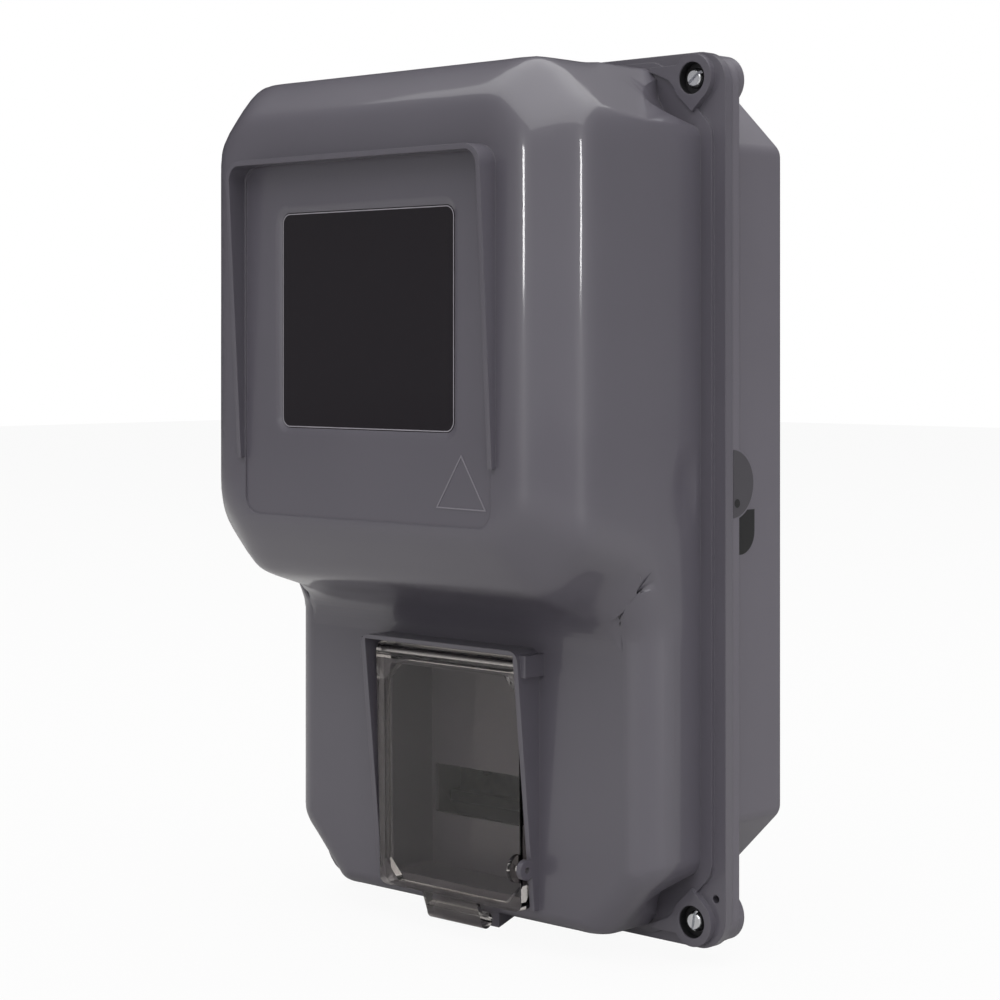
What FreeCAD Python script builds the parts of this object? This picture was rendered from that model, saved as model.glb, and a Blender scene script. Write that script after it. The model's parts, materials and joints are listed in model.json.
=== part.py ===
# Wall mounted electric meter box, modelled in millimetres.
# X runs to the right seen from the front, Y into the wall, Z up.
# The origin is the middle of the wall face, so depths in front of the wall are negative Y.
import FreeCAD, Part
import math
import os
import re
from FreeCAD import Vector
import Sketcher

os.makedirs("parts", exist_ok=True)
doc = FreeCAD.newDocument("MeterBox")

# Driving dimensions, one cell and one alias each
DRIVING = [
    ("box_width", 251.0, "flange width, left to right"),
    ("box_height", 385.0, "flange height"),
    ("base_depth", 50.0, "wall face to the joint between base and cover"),
    ("wall", 3.0, "moulded wall thickness"),
    ("corner_round", 14.0, "radius of the flange corners"),
    ("screw_side", 16.2, "flange side edge to the cover screw axis"),
    ("screw_end", 11.2, "flange end edge to the cover screw axis"),
    ("cover_flange", 7.3, "thickness of the cover flange at its inner ledge"),
    ("ledge_step", 1.6, "how much lower the outer part of the cover flange is"),
    ("base_flange", 5.0, "thickness of the base flange"),
    ("shadow_gap", 1.0, "depth of the shadow line at the joint"),
    ("flange_side", 12.5, "width of the flange at the sides"),
    ("flange_end", 5.0, "width of the flange at top and bottom"),
    ("corner_cut", 30.0, "size of the slanted corners of the cover at its flange"),
    ("corner_front", 24.0, "size of the slanted corners of the bulge at its front"),
    ("corner_blend", 12.0, "radius where a slanted lower corner meets a side"),
    ("corner_soft", 6.0, "radius where a slanted upper corner meets a side"),
    ("bulge_corner", 24.0, "size of the slanted lower corners of the bulge"),
    ("bulge_depth", 150.0, "wall face to the front of the meter bulge"),
    ("lower_depth", 90.0, "wall face to the front of the breaker part"),
    ("bulge_edge", 17.5, "size of the bevel round the front of the bulge"),
    ("bevel_round", 6.0, "rounding of the front edges of that bevel"),
    ("bevel_back", 4.0, "rounding of its back edges"),
    ("bulge_bottom", -33.0, "height of the bulge underside at the front"),
    ("underside_drop", 19.0, "how far the underside falls towards the back"),
    ("underside_round", 20.0, "fillet where the underside meets the breaker part"),
    ("lower_side_round", 16.0, "radius of the front side edges of the breaker part"),
    ("lower_end_round", 7.0, "radius of the bottom front edge"),
    ("boss_radius", 10.6, "radius of the screw bosses on the cover"),
    ("boss_point", 14.4, "screw axis to the point of the boss"),
    ("boss_reach", 13.0, "how far the boss runs on beside its point"),
    ("boss_run", 23.2, "how far it runs on along the end of the flange"),
    ("boss_rise", 4.2, "how much closer to the end it is there"),
    ("boss_front", 58.8, "wall face to the front of the screw bosses"),
    ("counterbore_radius", 7.0, "radius of the hole that hides the screw head"),
    ("seat_depth", 54.0, "wall face to the seat of the screw head"),
    ("screw_radius", 2.4, "radius of the cover screw shank"),
    ("screw_clearance", 0.35, "gap round a screw shank"),
    ("head_radius", 4.7, "radius of the cover screw head"),
    ("head_height", 3.4, "height of the cover screw head"),
    ("screw_length", 14.0, "length of the cover screw shank"),
    ("driver_radius", 20.8, "radius of the cone kept free for a screwdriver, at the flange"),
    ("driver_reach", 30.0, "length of that cone"),
    ("driver_angle", 19.3, "slope of that cone"),
    ("insert_radius", 3.6, "radius of the threaded inserts"),
    ("insert_length", 10.0, "length of the threaded inserts"),
    ("insert_sunk", 0.5, "how far the inserts lie below the joint"),
    ("base_boss_radius", 11.0, "radius of the screw bosses on the base"),
    ("base_boss_back", 36.0, "wall face to the back of the base bosses"),
    ("base_side", 114.0, "half width of the base tub"),
    ("base_top_in", 8.5, "top of the flange to the top of the base tub"),
    ("base_low_in", 20.5, "bottom of the flange to the bottom of the base tub"),
    ("base_cut", 31.0, "size of the slanted corners of the base tub"),
    ("base_blend", 8.0, "radius of the corners of the base tub"),
    ("gasket_width", 3.0, "width of the gasket cord"),
    ("gasket_height", 2.0, "height of the gasket cord"),
    ("window_side", 54.3, "half width of the window"),
    ("window_low", 29.6, "height of the bottom of the window"),
    ("window_high", 125.6, "height of the top of the window"),
    ("window_round", 5.0, "corner radius of the window"),
    ("window_rim", 3.6, "width of the bevel round the window"),
    ("window_step", 1.5, "depth of that bevel"),
    ("pane_sunk", 2.2, "how far the pane lies behind the front"),
    ("pane_overlap", 7.0, "how far the pane reaches behind the cover"),
    ("pane_plate", 2.5, "thickness of the edge of the pane"),
    ("pane_clearance", 0.35, "gap round the raised part of the pane"),
    ("seal_height", 1.5, "thickness of the window seal"),
    ("seal_width", 5.0, "width of the window seal"),
    ("frame_height", 3.0, "thickness of the window frame"),
    ("frame_width", 8.0, "width of the window frame past the pane"),
    ("frame_screw_in", 8.0, "corner of the window to a frame screw"),
    ("visor_side", 80.0, "half width of the visor over the window"),
    ("visor_top", 149.5, "height of the top of the visor"),
    ("visor_low", 15.5, "height of the lower ends of the visor"),
    ("visor_wall", 2.4, "thickness of the visor"),
    ("visor_out", 10.0, "how far the visor stands out at the top"),
    ("visor_end", 2.3, "how far it stands out at its lower ends"),
    ("visor_round", 9.0, "corner radius of the visor"),
    ("panel_in", 3.0, "side of the visor to the side of the window panel"),
    ("panel_low", -9.6, "height of the bottom of the window panel"),
    ("panel_sunk", 0.8, "depth of the window panel"),
    ("panel_round", 8.0, "corner radius of the window panel"),
    ("hood_side", 49.2, "half width of the hood round the breaker lid"),
    ("hood_top", -66.2, "height of the top of the hood"),
    ("hood_wall", 2.6, "thickness of the hood sides"),
    ("hood_roof", 2.0, "thickness of the hood top"),
    ("hood_out", 14.5, "how far the hood stands out at the top"),
    ("hood_end", 3.0, "how far it stands out at its lower ends"),
    ("hood_low", -180.6, "height of the lower ends of the hood"),
    ("hood_round", 5.0, "corner radius of the hood"),
    ("collar_out", 2.8, "how far the collar stands out from the hood sides"),
    ("collar_high", 9.6, "height of the collar"),
    ("recess_side", 41.4, "half width of the breaker recess"),
    ("recess_high", -80.0, "height of the top of the breaker recess"),
    ("recess_low", -176.0, "height of the bottom of the breaker recess"),
    ("recess_floor", 64.0, "wall face to the floor of the breaker recess"),
    ("recess_round", 2.0, "corner radius of the breaker recess"),
    ("floor_wall", 2.0, "thickness of the recess floor"),
    ("slot_side", 39.5, "half width of the breaker slot"),
    ("slot_high", -129.0, "height of the top of the breaker slot"),
    ("slot_low", -151.5, "height of the bottom of the breaker slot"),
    ("slot_round", 1.0, "corner radius of the breaker slot"),
    ("hinge_depth", 95.0, "wall face to the lid hinge axis"),
    ("hinge_height", -73.9, "height of the lid hinge axis"),
    ("rod_radius", 1.5, "radius of the hinge rod"),
    ("rod_clearance", 0.06, "running gap round the hinge rod"),
    ("rod_fit", 0.03, "gap round the hinge rod in the hood"),
    ("rod_seat", 1.6, "how far the rod reaches into each hood side"),
    ("rod_end_gap", 0.05, "gap at each end of the hinge rod"),
    ("barrel_radius", 3.9, "radius of the lid's hinge barrel"),
    ("lid_side", 44.6, "half width of the lid"),
    ("lid_low", -181.5, "height of the bottom of the lid"),
    ("lid_front_low", 96.4, "wall face to the front of the lid at its bottom"),
    ("lid_wall", 2.2, "thickness of the lid"),
    ("lid_gap", 0.3, "gap between the closed lid and the cover"),
    ("lid_corner", 9.0, "size of the slanted inner corners of the lid"),
    ("lid_round", 4.0, "radius of the lower corners of the lid"),
    ("tab_side", 17.0, "half width of the pull tab"),
    ("tab_radius", 3.6, "radius of the roll of the pull tab"),
    ("tab_depth", 89.6, "wall face to the middle of that roll"),
    ("tab_height", -190.4, "height of the middle of that roll"),
    ("tab_wall", 2.2, "thickness of the web of the pull tab"),
    ("lug_side", 21.0, "half width of the wedge under the cover"),
    ("lug_drop", 6.0, "height of that wedge"),
    ("lug_length", 18.0, "length of that wedge"),
    ("ear_radius", 6.2, "radius of the lid seal ears"),
    ("ear_depth", 97.5, "wall face to the middle of the lid seal ears"),
    ("ear_height", -162.0, "height of the middle of the lid seal ears"),
    ("hood_ear_radius", 4.4, "radius of the seal ear on the hood"),
    ("ear_hole", 1.4, "radius of the seal wire holes"),
    ("ear_wall", 2.2, "thickness of the lid's seal ear"),
    ("seal_disc", 15.5, "radius of the seal disc on the right side"),
    ("seal_disc_height", 7.0, "height of its middle"),
    ("seal_disc_wall", 3.0, "thickness of the seal disc"),
    ("seal_hole_in", 3.5, "edge of the seal disc to its hole"),
    ("seal_hole_low", 8.4, "middle of the seal disc to its hole"),
    ("seal_hole", 1.9, "radius of that hole"),
    ("wire_hole", 1.75, "radius of the seal wire hole through the flange"),
    ("wire_hole_side", 5.2, "side of the flange to that hole"),
    ("wire_hole_end", 22.2, "bottom of the flange to that hole"),
    ("plate_side", 92.0, "half width of the meter plate"),
    ("plate_low", -14.0, "height of the bottom of the meter plate"),
    ("plate_high", 166.0, "height of the top of the meter plate"),
    ("plate_depth", 40.0, "wall face to the back of the meter plate"),
    ("plate_wall", 1.5, "thickness of the meter plate"),
    ("plate_lip", 6.0, "depth of the folded edges of the meter plate"),
    ("plate_round", 4.0, "corner radius of the meter plate"),
    ("lip_in", 6.0, "end of the meter plate to the end of a folded edge"),
    ("slot_in", 24.0, "end of the meter plate to the end of a slot"),
    ("slot_half", 2.2, "half width of the slots of the meter plate"),
    ("pillar_side", 76.0, "middle of the box to a plate pillar"),
    ("pillar_low", 2.0, "height of the lower plate pillars"),
    ("pillar_high", 150.0, "height of the upper plate pillars"),
    ("pillar_radius", 5.0, "radius of the plate pillars"),
    ("small_screw_radius", 1.6, "radius of the small screws"),
    ("small_head_radius", 3.4, "radius of their heads"),
    ("small_head_height", 2.2, "height of their heads"),
    ("small_screw_length", 9.0, "length of the plate and holder screws"),
    ("thread_gap", 0.05, "gap between a small screw and its pilot hole"),
    ("tip_gap", 0.4, "room under the tip of a small screw"),
    ("rail_height", 35.0, "height of the mounting rail"),
    ("rail_depth", 7.5, "depth of the mounting rail"),
    ("rail_wall", 1.0, "thickness of the mounting rail"),
    ("rail_channel", 27.0, "outer height of the rail channel"),
    ("rail_side", 80.0, "half length of the mounting rail"),
    ("rail_seat", 5.0, "wall face to the back of the rail"),
    ("rail_screw_side", 60.0, "middle of the rail to its screws"),
    ("rail_screw_length", 4.4, "length of the rail screws"),
    ("bar_length", 76.0, "length of a terminal bar"),
    ("bar_height", 9.0, "height of a terminal bar"),
    ("bar_depth", 7.0, "depth of a terminal bar"),
    ("bar_middle", 49.0, "middle of the box to the middle of a terminal bar"),
    ("bar_level", -74.0, "height of the terminal bars"),
    ("foot_radius", 3.5, "radius of the feet under the terminal bar holders"),
    ("holder_round", 3.0, "corner radius of a terminal bar holder"),
    ("holder_margin", 1.5, "how far its plate reaches past the bar"),
    ("holder_step", 0.5, "how much its block differs from the bar"),
    ("bar_stand", 12.0, "height of the terminal bar holders"),
    ("bar_pitch", 11.0, "distance between the terminal screws"),
    ("terminal_radius", 2.0, "radius of the terminal screws"),
    ("terminal_deep", 4.3, "depth of the terminal screw holes"),
    ("terminal_hole", 2.3, "radius of the wire holes"),
    ("grommet_radius", 14.0, "radius of the cable holes"),
    ("grommet_lip", 3.0, "how far a grommet reaches past its hole"),
    ("grommet_gap", 0.05, "gap between a grommet and its hole"),
    ("grommet_skin", 1.0, "thickness of the skin across a grommet"),
    ("grommet_pitch", 50.0, "distance between the cable holes"),
    ("grommet_depth", 25.0, "wall face to the middle of the cable holes"),
    ("wall_hole_radius", 3.2, "radius of the wall screw holes"),
    ("wall_hole_side", 90.0, "middle of the box to a wall screw hole"),
    ("wall_hole_low", -100.0, "height of the lower wall screw holes"),
    ("wall_hole_high", 140.0, "height of the upper wall screw holes"),
]

sheet = doc.addObject("Spreadsheet::Sheet", "sizes")
for row, (alias, value, note) in enumerate(DRIVING, start=1):
    sheet.set("A%d" % row, note)
    sheet.set("B%d" % row, str(value))
    sheet.setAlias("B%d" % row, alias)
doc.recompute()


# Expressions and sizes
def linked(text):
    """Puts the sheet's name before each alias of an expression."""
    return re.sub(r"\b([a-z]+_[a-z_]+|wall)\b", r"sizes.\1", str(text))


def number(text):
    """The present value of an expression."""
    return float(doc.Objects[0].evalExpression(str(text)))


def bind(thing, target, text):
    thing.setExpression(target, linked(text))


# Sketches
PLANES = {"front": "XZ_Plane", "side": "YZ_Plane", "top": "XY_Plane"}


def start_body(name):
    body = doc.addObject("PartDesign::Body", name)
    body.Label = name
    return body


def start_sketch(body, view, distance="0"):
    """A sketch on an origin plane, moved along its normal: forward, right or up."""
    plane = next(f for f in body.Origin.OriginFeatures if f.Role == PLANES[view])
    sketch = body.newObject("Sketcher::SketchObject", body.Label + "_outline")
    sketch.AttachmentSupport = (plane, [""])
    sketch.MapMode = "FlatFace"
    bind(sketch, "AttachmentOffset.Base.z", distance)
    return sketch


def hold(sketch, constraints, expressions):
    """Adds constraints and binds those that have an expression."""
    first = sketch.ConstraintCount
    sketch.addConstraint(constraints)
    for offset, text in expressions.items():
        bind(sketch, "Constraints[%d]" % (first + offset), text)


def place_point(constraints, expressions, geometry, position, x, y):
    for kind, text in (("DistanceX", x), ("DistanceY", y)):
        expressions[len(constraints)] = text
        constraints.append(Sketcher.Constraint(kind, -1, 1, geometry, position, number(text)))


def corner_arc(before, here, after, radius):
    """Start, end and circle of the arc that rounds a corner, and whether it turns left."""
    back = (before - here).normalize()
    ahead = (after - here).normalize()
    half = back.getAngle(ahead) / 2
    middle = (back + ahead).normalize()
    centre = here + middle * (radius / math.sin(half))
    start = here + back * (radius / math.tan(half))
    end = here + ahead * (radius / math.tan(half))
    left = back.cross(ahead).z < 0
    return start, end, centre, left


def add_outline(sketch, corners):
    """A closed outline: each corner is two expressions and, where it is rounded, a radius."""
    points = [Vector(number(c[0]), number(c[1]), 0) for c in corners]
    radii = [number(c[2]) if len(c) > 2 else 0 for c in corners]
    count = len(corners)
    ends = []
    for i, here in enumerate(points):
        if radii[i]:
            ends.append(corner_arc(points[i - 1], here, points[(i + 1) % count], radii[i]))
        else:
            ends.append((here, here, None, True))
    first = sketch.GeometryCount
    for i in range(count):
        sketch.addGeometry(Part.LineSegment(ends[i][1], ends[(i + 1) % count][0]))
    constraints = []
    expressions = {}
    for i in range(count):
        line_in, line_out = first + (i - 1) % count, first + i
        if radii[i]:
            round_corner(sketch, constraints, expressions, ends[i], line_in, line_out, corners[i])
        else:
            constraints.append(Sketcher.Constraint("Coincident", line_in, 2, line_out, 1))
            place_point(constraints, expressions, line_out, 1, corners[i][0], corners[i][1])
    hold(sketch, constraints, expressions)


def round_corner(sketch, constraints, expressions, arc_ends, line_in, line_out, corner):
    start, end, centre, left = arc_ends
    radius = number(corner[2])
    from_point, to_point = (start, end) if left else (end, start)
    angles = [math.atan2(p.y - centre.y, p.x - centre.x) for p in (from_point, to_point)]
    if angles[1] < angles[0]:
        angles[1] += 2 * math.pi
    circle = Part.Circle(centre, Vector(0, 0, 1), radius)
    arc = sketch.addGeometry(Part.ArcOfCircle(circle, angles[0], angles[1]))
    apex = sketch.addGeometry(Part.Point(Vector(number(corner[0]), number(corner[1]), 0)), True)
    enter, leave = (1, 2) if left else (2, 1)
    constraints.append(Sketcher.Constraint("Tangent", line_in, 2, arc, enter))
    constraints.append(Sketcher.Constraint("Tangent", arc, leave, line_out, 1))
    expressions[len(constraints)] = corner[2]
    constraints.append(Sketcher.Constraint("Radius", arc, radius))
    constraints.append(Sketcher.Constraint("PointOnObject", apex, 1, line_in))
    constraints.append(Sketcher.Constraint("PointOnObject", apex, 1, line_out))
    place_point(constraints, expressions, apex, 1, corner[0], corner[1])


def add_circle(sketch, x, y, radius):
    centre = Vector(number(x), number(y), 0)
    circle = sketch.addGeometry(Part.Circle(centre, Vector(0, 0, 1), number(radius)))
    constraints = []
    expressions = {}
    place_point(constraints, expressions, circle, 3, x, y)
    expressions[len(constraints)] = radius
    constraints.append(Sketcher.Constraint("Radius", circle, number(radius)))
    hold(sketch, constraints, expressions)


def rectangle(left, right, bottom, top, radius=None):
    corners = [(left, bottom), (right, bottom), (right, top), (left, top)]
    return [c + (radius,) for c in corners] if radius else corners


# Features
def feature(body, kind, sketch, length, symmetric=False, backwards=False, taper=None):
    made = body.newObject("PartDesign::" + kind, body.Label + "_" + kind.lower())
    made.Profile = sketch
    if length == "through":
        made.Type = "ThroughAll"
    else:
        bind(made, "Length", length)
    made.SideType = "Symmetric" if symmetric else "One side"
    made.Reversed = backwards
    made.Refine = False
    if taper:
        bind(made, "TaperAngle", taper)
    doc.recompute()
    return made


def pad(body, view, distance, corners, length, **options):
    sketch = start_sketch(body, view, distance)
    add_outline(sketch, corners)
    return feature(body, "Pad", sketch, length, **options)


def pocket(body, view, distance, corners, length, **options):
    sketch = start_sketch(body, view, distance)
    add_outline(sketch, corners)
    return feature(body, "Pocket", sketch, length, **options)


def edges_where(made, test):
    """Names of the edges of a feature whose middle point passes a test."""
    names = []
    for index, edge in enumerate(made.Shape.Edges, start=1):
        middle = edge.valueAt((edge.FirstParameter + edge.LastParameter) / 2)
        if test(middle, edge):
            names.append("Edge%d" % index)
    return names


def dress(body, kind, target, amount, test):
    """A fillet or chamfer on the edges that pass a test."""
    before = body.Tip
    names = edges_where(before, test)
    made = body.newObject("PartDesign::" + kind, body.Label + "_" + kind.lower())
    made.Base = (before, names)
    bind(made, target, amount)
    doc.recompute()
    return made


def near(value, text, room=0.05):
    return abs(value - number(text)) < room


# Front cover
def wall_outline(inset, cut="corner_cut", low_cut="corner_cut", bottom=None):
    """Eight sided outline of the cover wall, moved in by an inset."""
    wide = "(box_width / 2 - flange_side - %s)" % inset
    high = "(box_height / 2 - flange_end - %s)" % inset
    bottom = bottom or "-" + high
    cut, low_cut = ("(%s - %s * (2 - sqrt(2)))" % (size, inset) for size in (cut, low_cut))
    return [
        ("%s - %s" % (wide, low_cut), bottom), (wide, "%s + %s" % (bottom, low_cut)),
        (wide, "%s - %s" % (high, cut)), ("%s - %s" % (wide, cut), high),
        ("%s - %s" % (cut, wide), high), ("-" + wide, "%s - %s" % (high, cut)),
        ("-" + wide, "%s + %s" % (bottom, low_cut)), ("%s - %s" % (low_cut, wide), bottom),
    ]


def cover_form(name, inset):
    """The domed form of the cover, used for its outside and, moved in, for its hollow."""
    body = start_body(name)
    wide = "(box_width / 2 - flange_side - %s)" % inset
    high = "(box_height / 2 - flange_end - %s)" % inset
    deep = "(bulge_depth - %s)" % inset
    low = "(lower_depth - %s)" % inset
    slope = "(underside_drop / (bulge_depth - lower_depth))"
    front = "(bulge_bottom + %s * sqrt(1 + pow(%s; 2)))" % (inset, slope)
    back = "(%s - %s * (bulge_depth - lower_depth))" % (front, slope)
    narrowing = "(corner_cut - corner_front) * (%s - base_depth) / (%s - base_depth)" % (low, deep)
    middle = "(corner_cut - %s)" % narrowing
    loft(body, "front", [("base_depth", wall_outline(inset)), (low, wall_outline(inset, middle))])
    loft(body, "front", [(low, wall_outline(inset, middle, "bulge_corner", back)),
                         (deep, wall_outline(inset, "corner_front", "bulge_corner", front))])
    root = number(back)
    dress(body, "Fillet", "Radius", "underside_round + " + inset,
          lambda p, e: near(p.y, "-" + low) and root - 1 < p.z < number(back + " + bulge_corner")
          and abs(p.x) < number(wide) - 1 and not upright(e))
    dress(body, "Chamfer", "Size", "bulge_edge - %s * (2 - sqrt(2))" % inset,
          lambda p, e: near(p.y, "-" + deep))
    take_away(body, side_cutter(name + "_sides", inset, wide, low), name + "_side_rounds")
    dress(body, "Fillet", "Radius", "corner_blend - " + inset,
          lambda p, e: is_low_corner(p, e, wide, high, low))
    dress(body, "Fillet", "Radius", "lower_end_round - " + inset,
          lambda p, e: near(p.z, "-" + high) and near(p.y, "-" + low))
    round_bevel(body, inset, deep)
    return body


def loft(body, view, sections):
    """A solid with flat sides between two outlines, each at its distance."""
    sketches = []
    for distance, corners in sections:
        sketch = start_sketch(body, view, distance)
        add_outline(sketch, corners)
        sketches.append(sketch)
    made = body.newObject("PartDesign::AdditiveLoft", body.Label + "_loft")
    made.Profile = sketches[0]
    made.Sections = [(sketch, "") for sketch in sketches[1:]]
    made.Ruled = True
    made.Refine = True
    doc.recompute()
    return made


def side_cutter(name, inset, wide, low):
    """What comes off the front side edges of the breaker part, up to the bulge, to round them."""
    body = start_body(name)
    radius = "(lower_side_round - %s)" % inset
    floor = "-box_height / 2 - wall"
    line = "(bulge_bottom - underside_drop + bulge_corner)"
    centres = []
    for side in (-1, 1):
        centre, outside = "%d * (%s - %s)" % (side, wide, radius), "%d * (%s + wall)" % (side, wide)
        left, right = (centre, outside) if side > 0 else (outside, centre)
        block = rectangle(left, right, "-%s - wall" % low, "%s - %s" % (radius, low))
        pad(body, "top", floor, block, "box_height / 2 + wall + " + line)
        centres.append((centre, "%s - %s" % (radius, low)))
    drill(body, "top", floor, centres, radius, "box_height", backwards=True)
    past = wide + " + 2 * wall"
    above = [
        ("bulge_corner - " + wide, line + " - bulge_corner"),
        (wide + " - bulge_corner", line + " - bulge_corner"), (past, line + " + 2 * wall"),
        (past, line + " + box_width"), ("-(%s)" % past, line + " + box_width"),
        ("-(%s)" % past, line + " + 2 * wall"),
    ]
    pocket(body, "front", "box_width", above, "box_width")
    return body


def round_bevel(body, inset, deep):
    """Rounds the front edges of the bevel and the slanted upper corners."""
    front = number("-" + deep)
    back = front + number("bulge_edge - %s * (2 - sqrt(2))" % inset)
    less = " - 0.8 * " + inset
    dress(body, "Fillet", "Radius", "bevel_round" + less,
          lambda p, e: p.y < front + 0.2 or p.y < back - 1.5 and e.BoundBox.YLength > 8)
    dress(body, "Fillet", "Radius", "corner_soft" + less,
          lambda p, e: runs_forward(e) and p.z > number("box_height / 4")
          and p.y < number("-base_depth") - 2)


def round_bevel_back(body):
    dress(body, "Fillet", "Radius", "bevel_back",
          lambda p, e: near(p.y, "bulge_edge - bulge_depth", 1.2) and e.BoundBox.YLength < 1.5
          and max(e.BoundBox.XLength, e.BoundBox.ZLength) > 12)


def is_low_corner(point, edge, wide, high, low):
    """A long edge of a slanted lower corner, behind the rounded sides."""
    cut = number("corner_cut")
    return (number("-" + high) + 1 < point.z < number("-" + high) + cut + 1
            and abs(point.x) > number(wide) - cut - 0.5
            and number("-" + low) + 3.5 < point.y < number("-base_depth") - 1)


def runs_forward(edge):
    box = edge.BoundBox
    return box.YLength > 4 and box.YLength > 5 * (box.XLength + box.ZLength)


def upright(edge):
    box = edge.BoundBox
    return box.ZLength > 5 * (box.XLength + box.YLength)


def take_away(body, tool, name, kind="Cut"):
    made = body.newObject("PartDesign::Boolean", name)
    made.Type = kind
    made.Group = [tool]
    doc.recompute()
    return made


def join(body, tool, name):
    return take_away(body, tool, name, "Fuse")


def drill(body, view, distance, spots, radius, length, backwards=False):
    """Round holes: each spot is the two expressions of its middle."""
    sketch = start_sketch(body, view, distance)
    for x, y in spots:
        add_circle(sketch, x, y, radius)
    return feature(body, "Pocket", sketch, length, backwards=backwards)


def stud(body, view, distance, spots, radius, length, backwards=False):
    """Round bosses, made like the holes."""
    sketch = start_sketch(body, view, distance)
    for x, y in spots:
        add_circle(sketch, x, y, radius)
    return feature(body, "Pad", sketch, length, backwards=backwards)


def ring(body, kind, view, distance, outer, inner, length, **options):
    sketch = start_sketch(body, view, distance)
    add_outline(sketch, outer)
    add_outline(sketch, inner)
    return feature(body, kind, sketch, length, **options)


def flange_outline(inset="0"):
    wide = "(box_width / 2 - %s)" % inset
    high = "(box_height / 2 - %s)" % inset
    return rectangle("-" + wide, wide, "-" + high, high, "(corner_round - %s)" % inset)


def framed(side, low, high, radius, grow="0"):
    """A rounded rectangle, as wide to the left as to the right, grown by an amount."""
    grow = "(%s)" % grow
    wide = "(%s + %s)" % (side, grow)
    return rectangle("-" + wide, wide, "(%s - %s)" % (low, grow), "(%s + %s)" % (high, grow),
                     "(%s + %s)" % (radius, grow))


SCREW_X = "(box_width / 2 - screw_side)"
SCREW_Z = "(box_height / 2 - screw_end)"
SCREWS = [("%d * %s" % (x, SCREW_X), "%d * %s" % (z, SCREW_Z)) for x in (-1, 1) for z in (-1, 1)]
CORNERS = [(x, z) for x in (-1, 1) for z in (-1, 1)]
WIRE_HOLE = ("box_width / 2 - wire_hole_side", "wire_hole_end - box_height / 2")


def make_front_cover():
    body = cover_form("front_cover", "0")
    round_bevel_back(body)
    clear_for_driver(body, "0")
    add_cover_flange(body)
    join(body, make_screw_bosses(), "cover_bosses")
    drill_screw_holes(body)
    join(body, make_visor(), "cover_visor")
    join(body, make_hood(), "cover_hood")
    cut_window(body)
    add_lug(body)
    hollow = cover_form("cover_hollow", "wall")
    clear_for_driver(hollow, "wall")
    take_away(body, hollow, "cover_shell")
    add_recess(body)
    add_frame_pillars(body)
    return body


def clear_for_driver(body, grow):
    """A cone round each screw axis that leaves room for a screwdriver."""
    ledge = "base_depth + cover_flange"
    radius = "driver_radius + " + grow
    drill(body, "front", "base_depth", SCREWS, radius, "cover_flange", backwards=True)
    sketch = start_sketch(body, "front", ledge)
    for x, z in SCREWS:
        add_circle(sketch, x, z, radius)
    feature(body, "Pocket", sketch, "driver_reach", backwards=True, taper="-driver_angle")


def add_cover_flange(body):
    pad(body, "front", "base_depth", flange_outline(), "cover_flange - ledge_step")
    wide = "(box_width / 2 - flange_side / 2)"
    high = "(box_height / 2 - flange_end / 2)"
    corners = []
    for x, z in [(1, -1), (1, 1), (-1, 1), (-1, -1)]:
        tall = ("%d * %s" % (x, wide), "%d * (%s - corner_cut)" % (z, high), "corner_blend")
        flat = ("%d * (%s - corner_cut)" % (x, wide), "%d * %s" % (z, high), "corner_blend")
        corners += [flat, tall] if x * z < 0 else [tall, flat]
    pad(body, "front", "base_depth", corners, "cover_flange")


def add_recess(body):
    """A box shaped recess for the breakers, walled inside the cover."""
    grown = framed("recess_side", "recess_low", "recess_high", "recess_round", "wall")
    pad(body, "front", "recess_floor - floor_wall", grown, "lower_depth - recess_floor")
    pocket(body, "front", "lower_depth + wall",
           framed("recess_side", "recess_low", "recess_high", "recess_round"),
           "lower_depth + wall - recess_floor")
    pocket(body, "front", "recess_floor + wall",
           rectangle("-slot_side", "slot_side", "slot_low", "slot_high", "slot_round"),
           "2 * wall + floor_wall")


def make_screw_bosses():
    body = start_body("screw_bosses")
    height = "boss_front - base_depth"
    stud(body, "front", "base_depth", SCREWS, "boss_radius", height)
    across = "(boss_radius * sqrt(1 - pow(boss_radius / boss_point; 2)))"
    along = "(boss_radius * boss_radius / boss_point)"
    for x, z in CORNERS:
        middle = "%d * %s" % (x, SCREW_X)
        point = (middle, "%d * (%s - boss_point)" % (z, SCREW_Z))
        tangent = "%d * (%s - %s)" % (z, SCREW_Z, along)
        nose = [("%s - %s" % (middle, across), tangent), ("%s + %s" % (middle, across), tangent), point]
        run = "%s - %d * boss_run" % (middle, x)
        end = "%d * (box_height / 2 - flange_end)" % z
        shelf = [
            point, ("%s - %d * boss_reach" % (middle, x), "%d * %s" % (z, SCREW_Z)),
            (run, "%d * (%s + boss_rise)" % (z, SCREW_Z)), (run, end), (middle, end),
        ]
        for outline in (nose, shelf):
            pad(body, "front", "base_depth", outline, height)
    return body


def drill_screw_holes(body):
    drill(body, "front", "boss_front + wall", SCREWS, "counterbore_radius",
          "boss_front + wall - seat_depth")
    drill(body, "front", "boss_front", SCREWS, "screw_radius + screw_clearance", "through")
    drill(body, "front", "boss_front", [WIRE_HOLE], "wire_hole", "through")
    outer = rectangle("-box_width", "box_width", "-box_height", "box_height")
    ring(body, "Pocket", "front", "base_depth + shadow_gap", outer,
         flange_outline("shadow_gap"), "shadow_gap + wall")


WINDOW = ("window_side", "window_low", "window_high", "window_round")
FRAME_FRONT = "(bulge_depth - wall - seal_height - pane_plate)"
WINDOW_SCREWS = [("%d * (window_side + pane_overlap + frame_width / 2)" % x, z) for x in (-1, 1)
                 for z in ("window_low + frame_screw_in", "window_high - frame_screw_in")]


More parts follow.
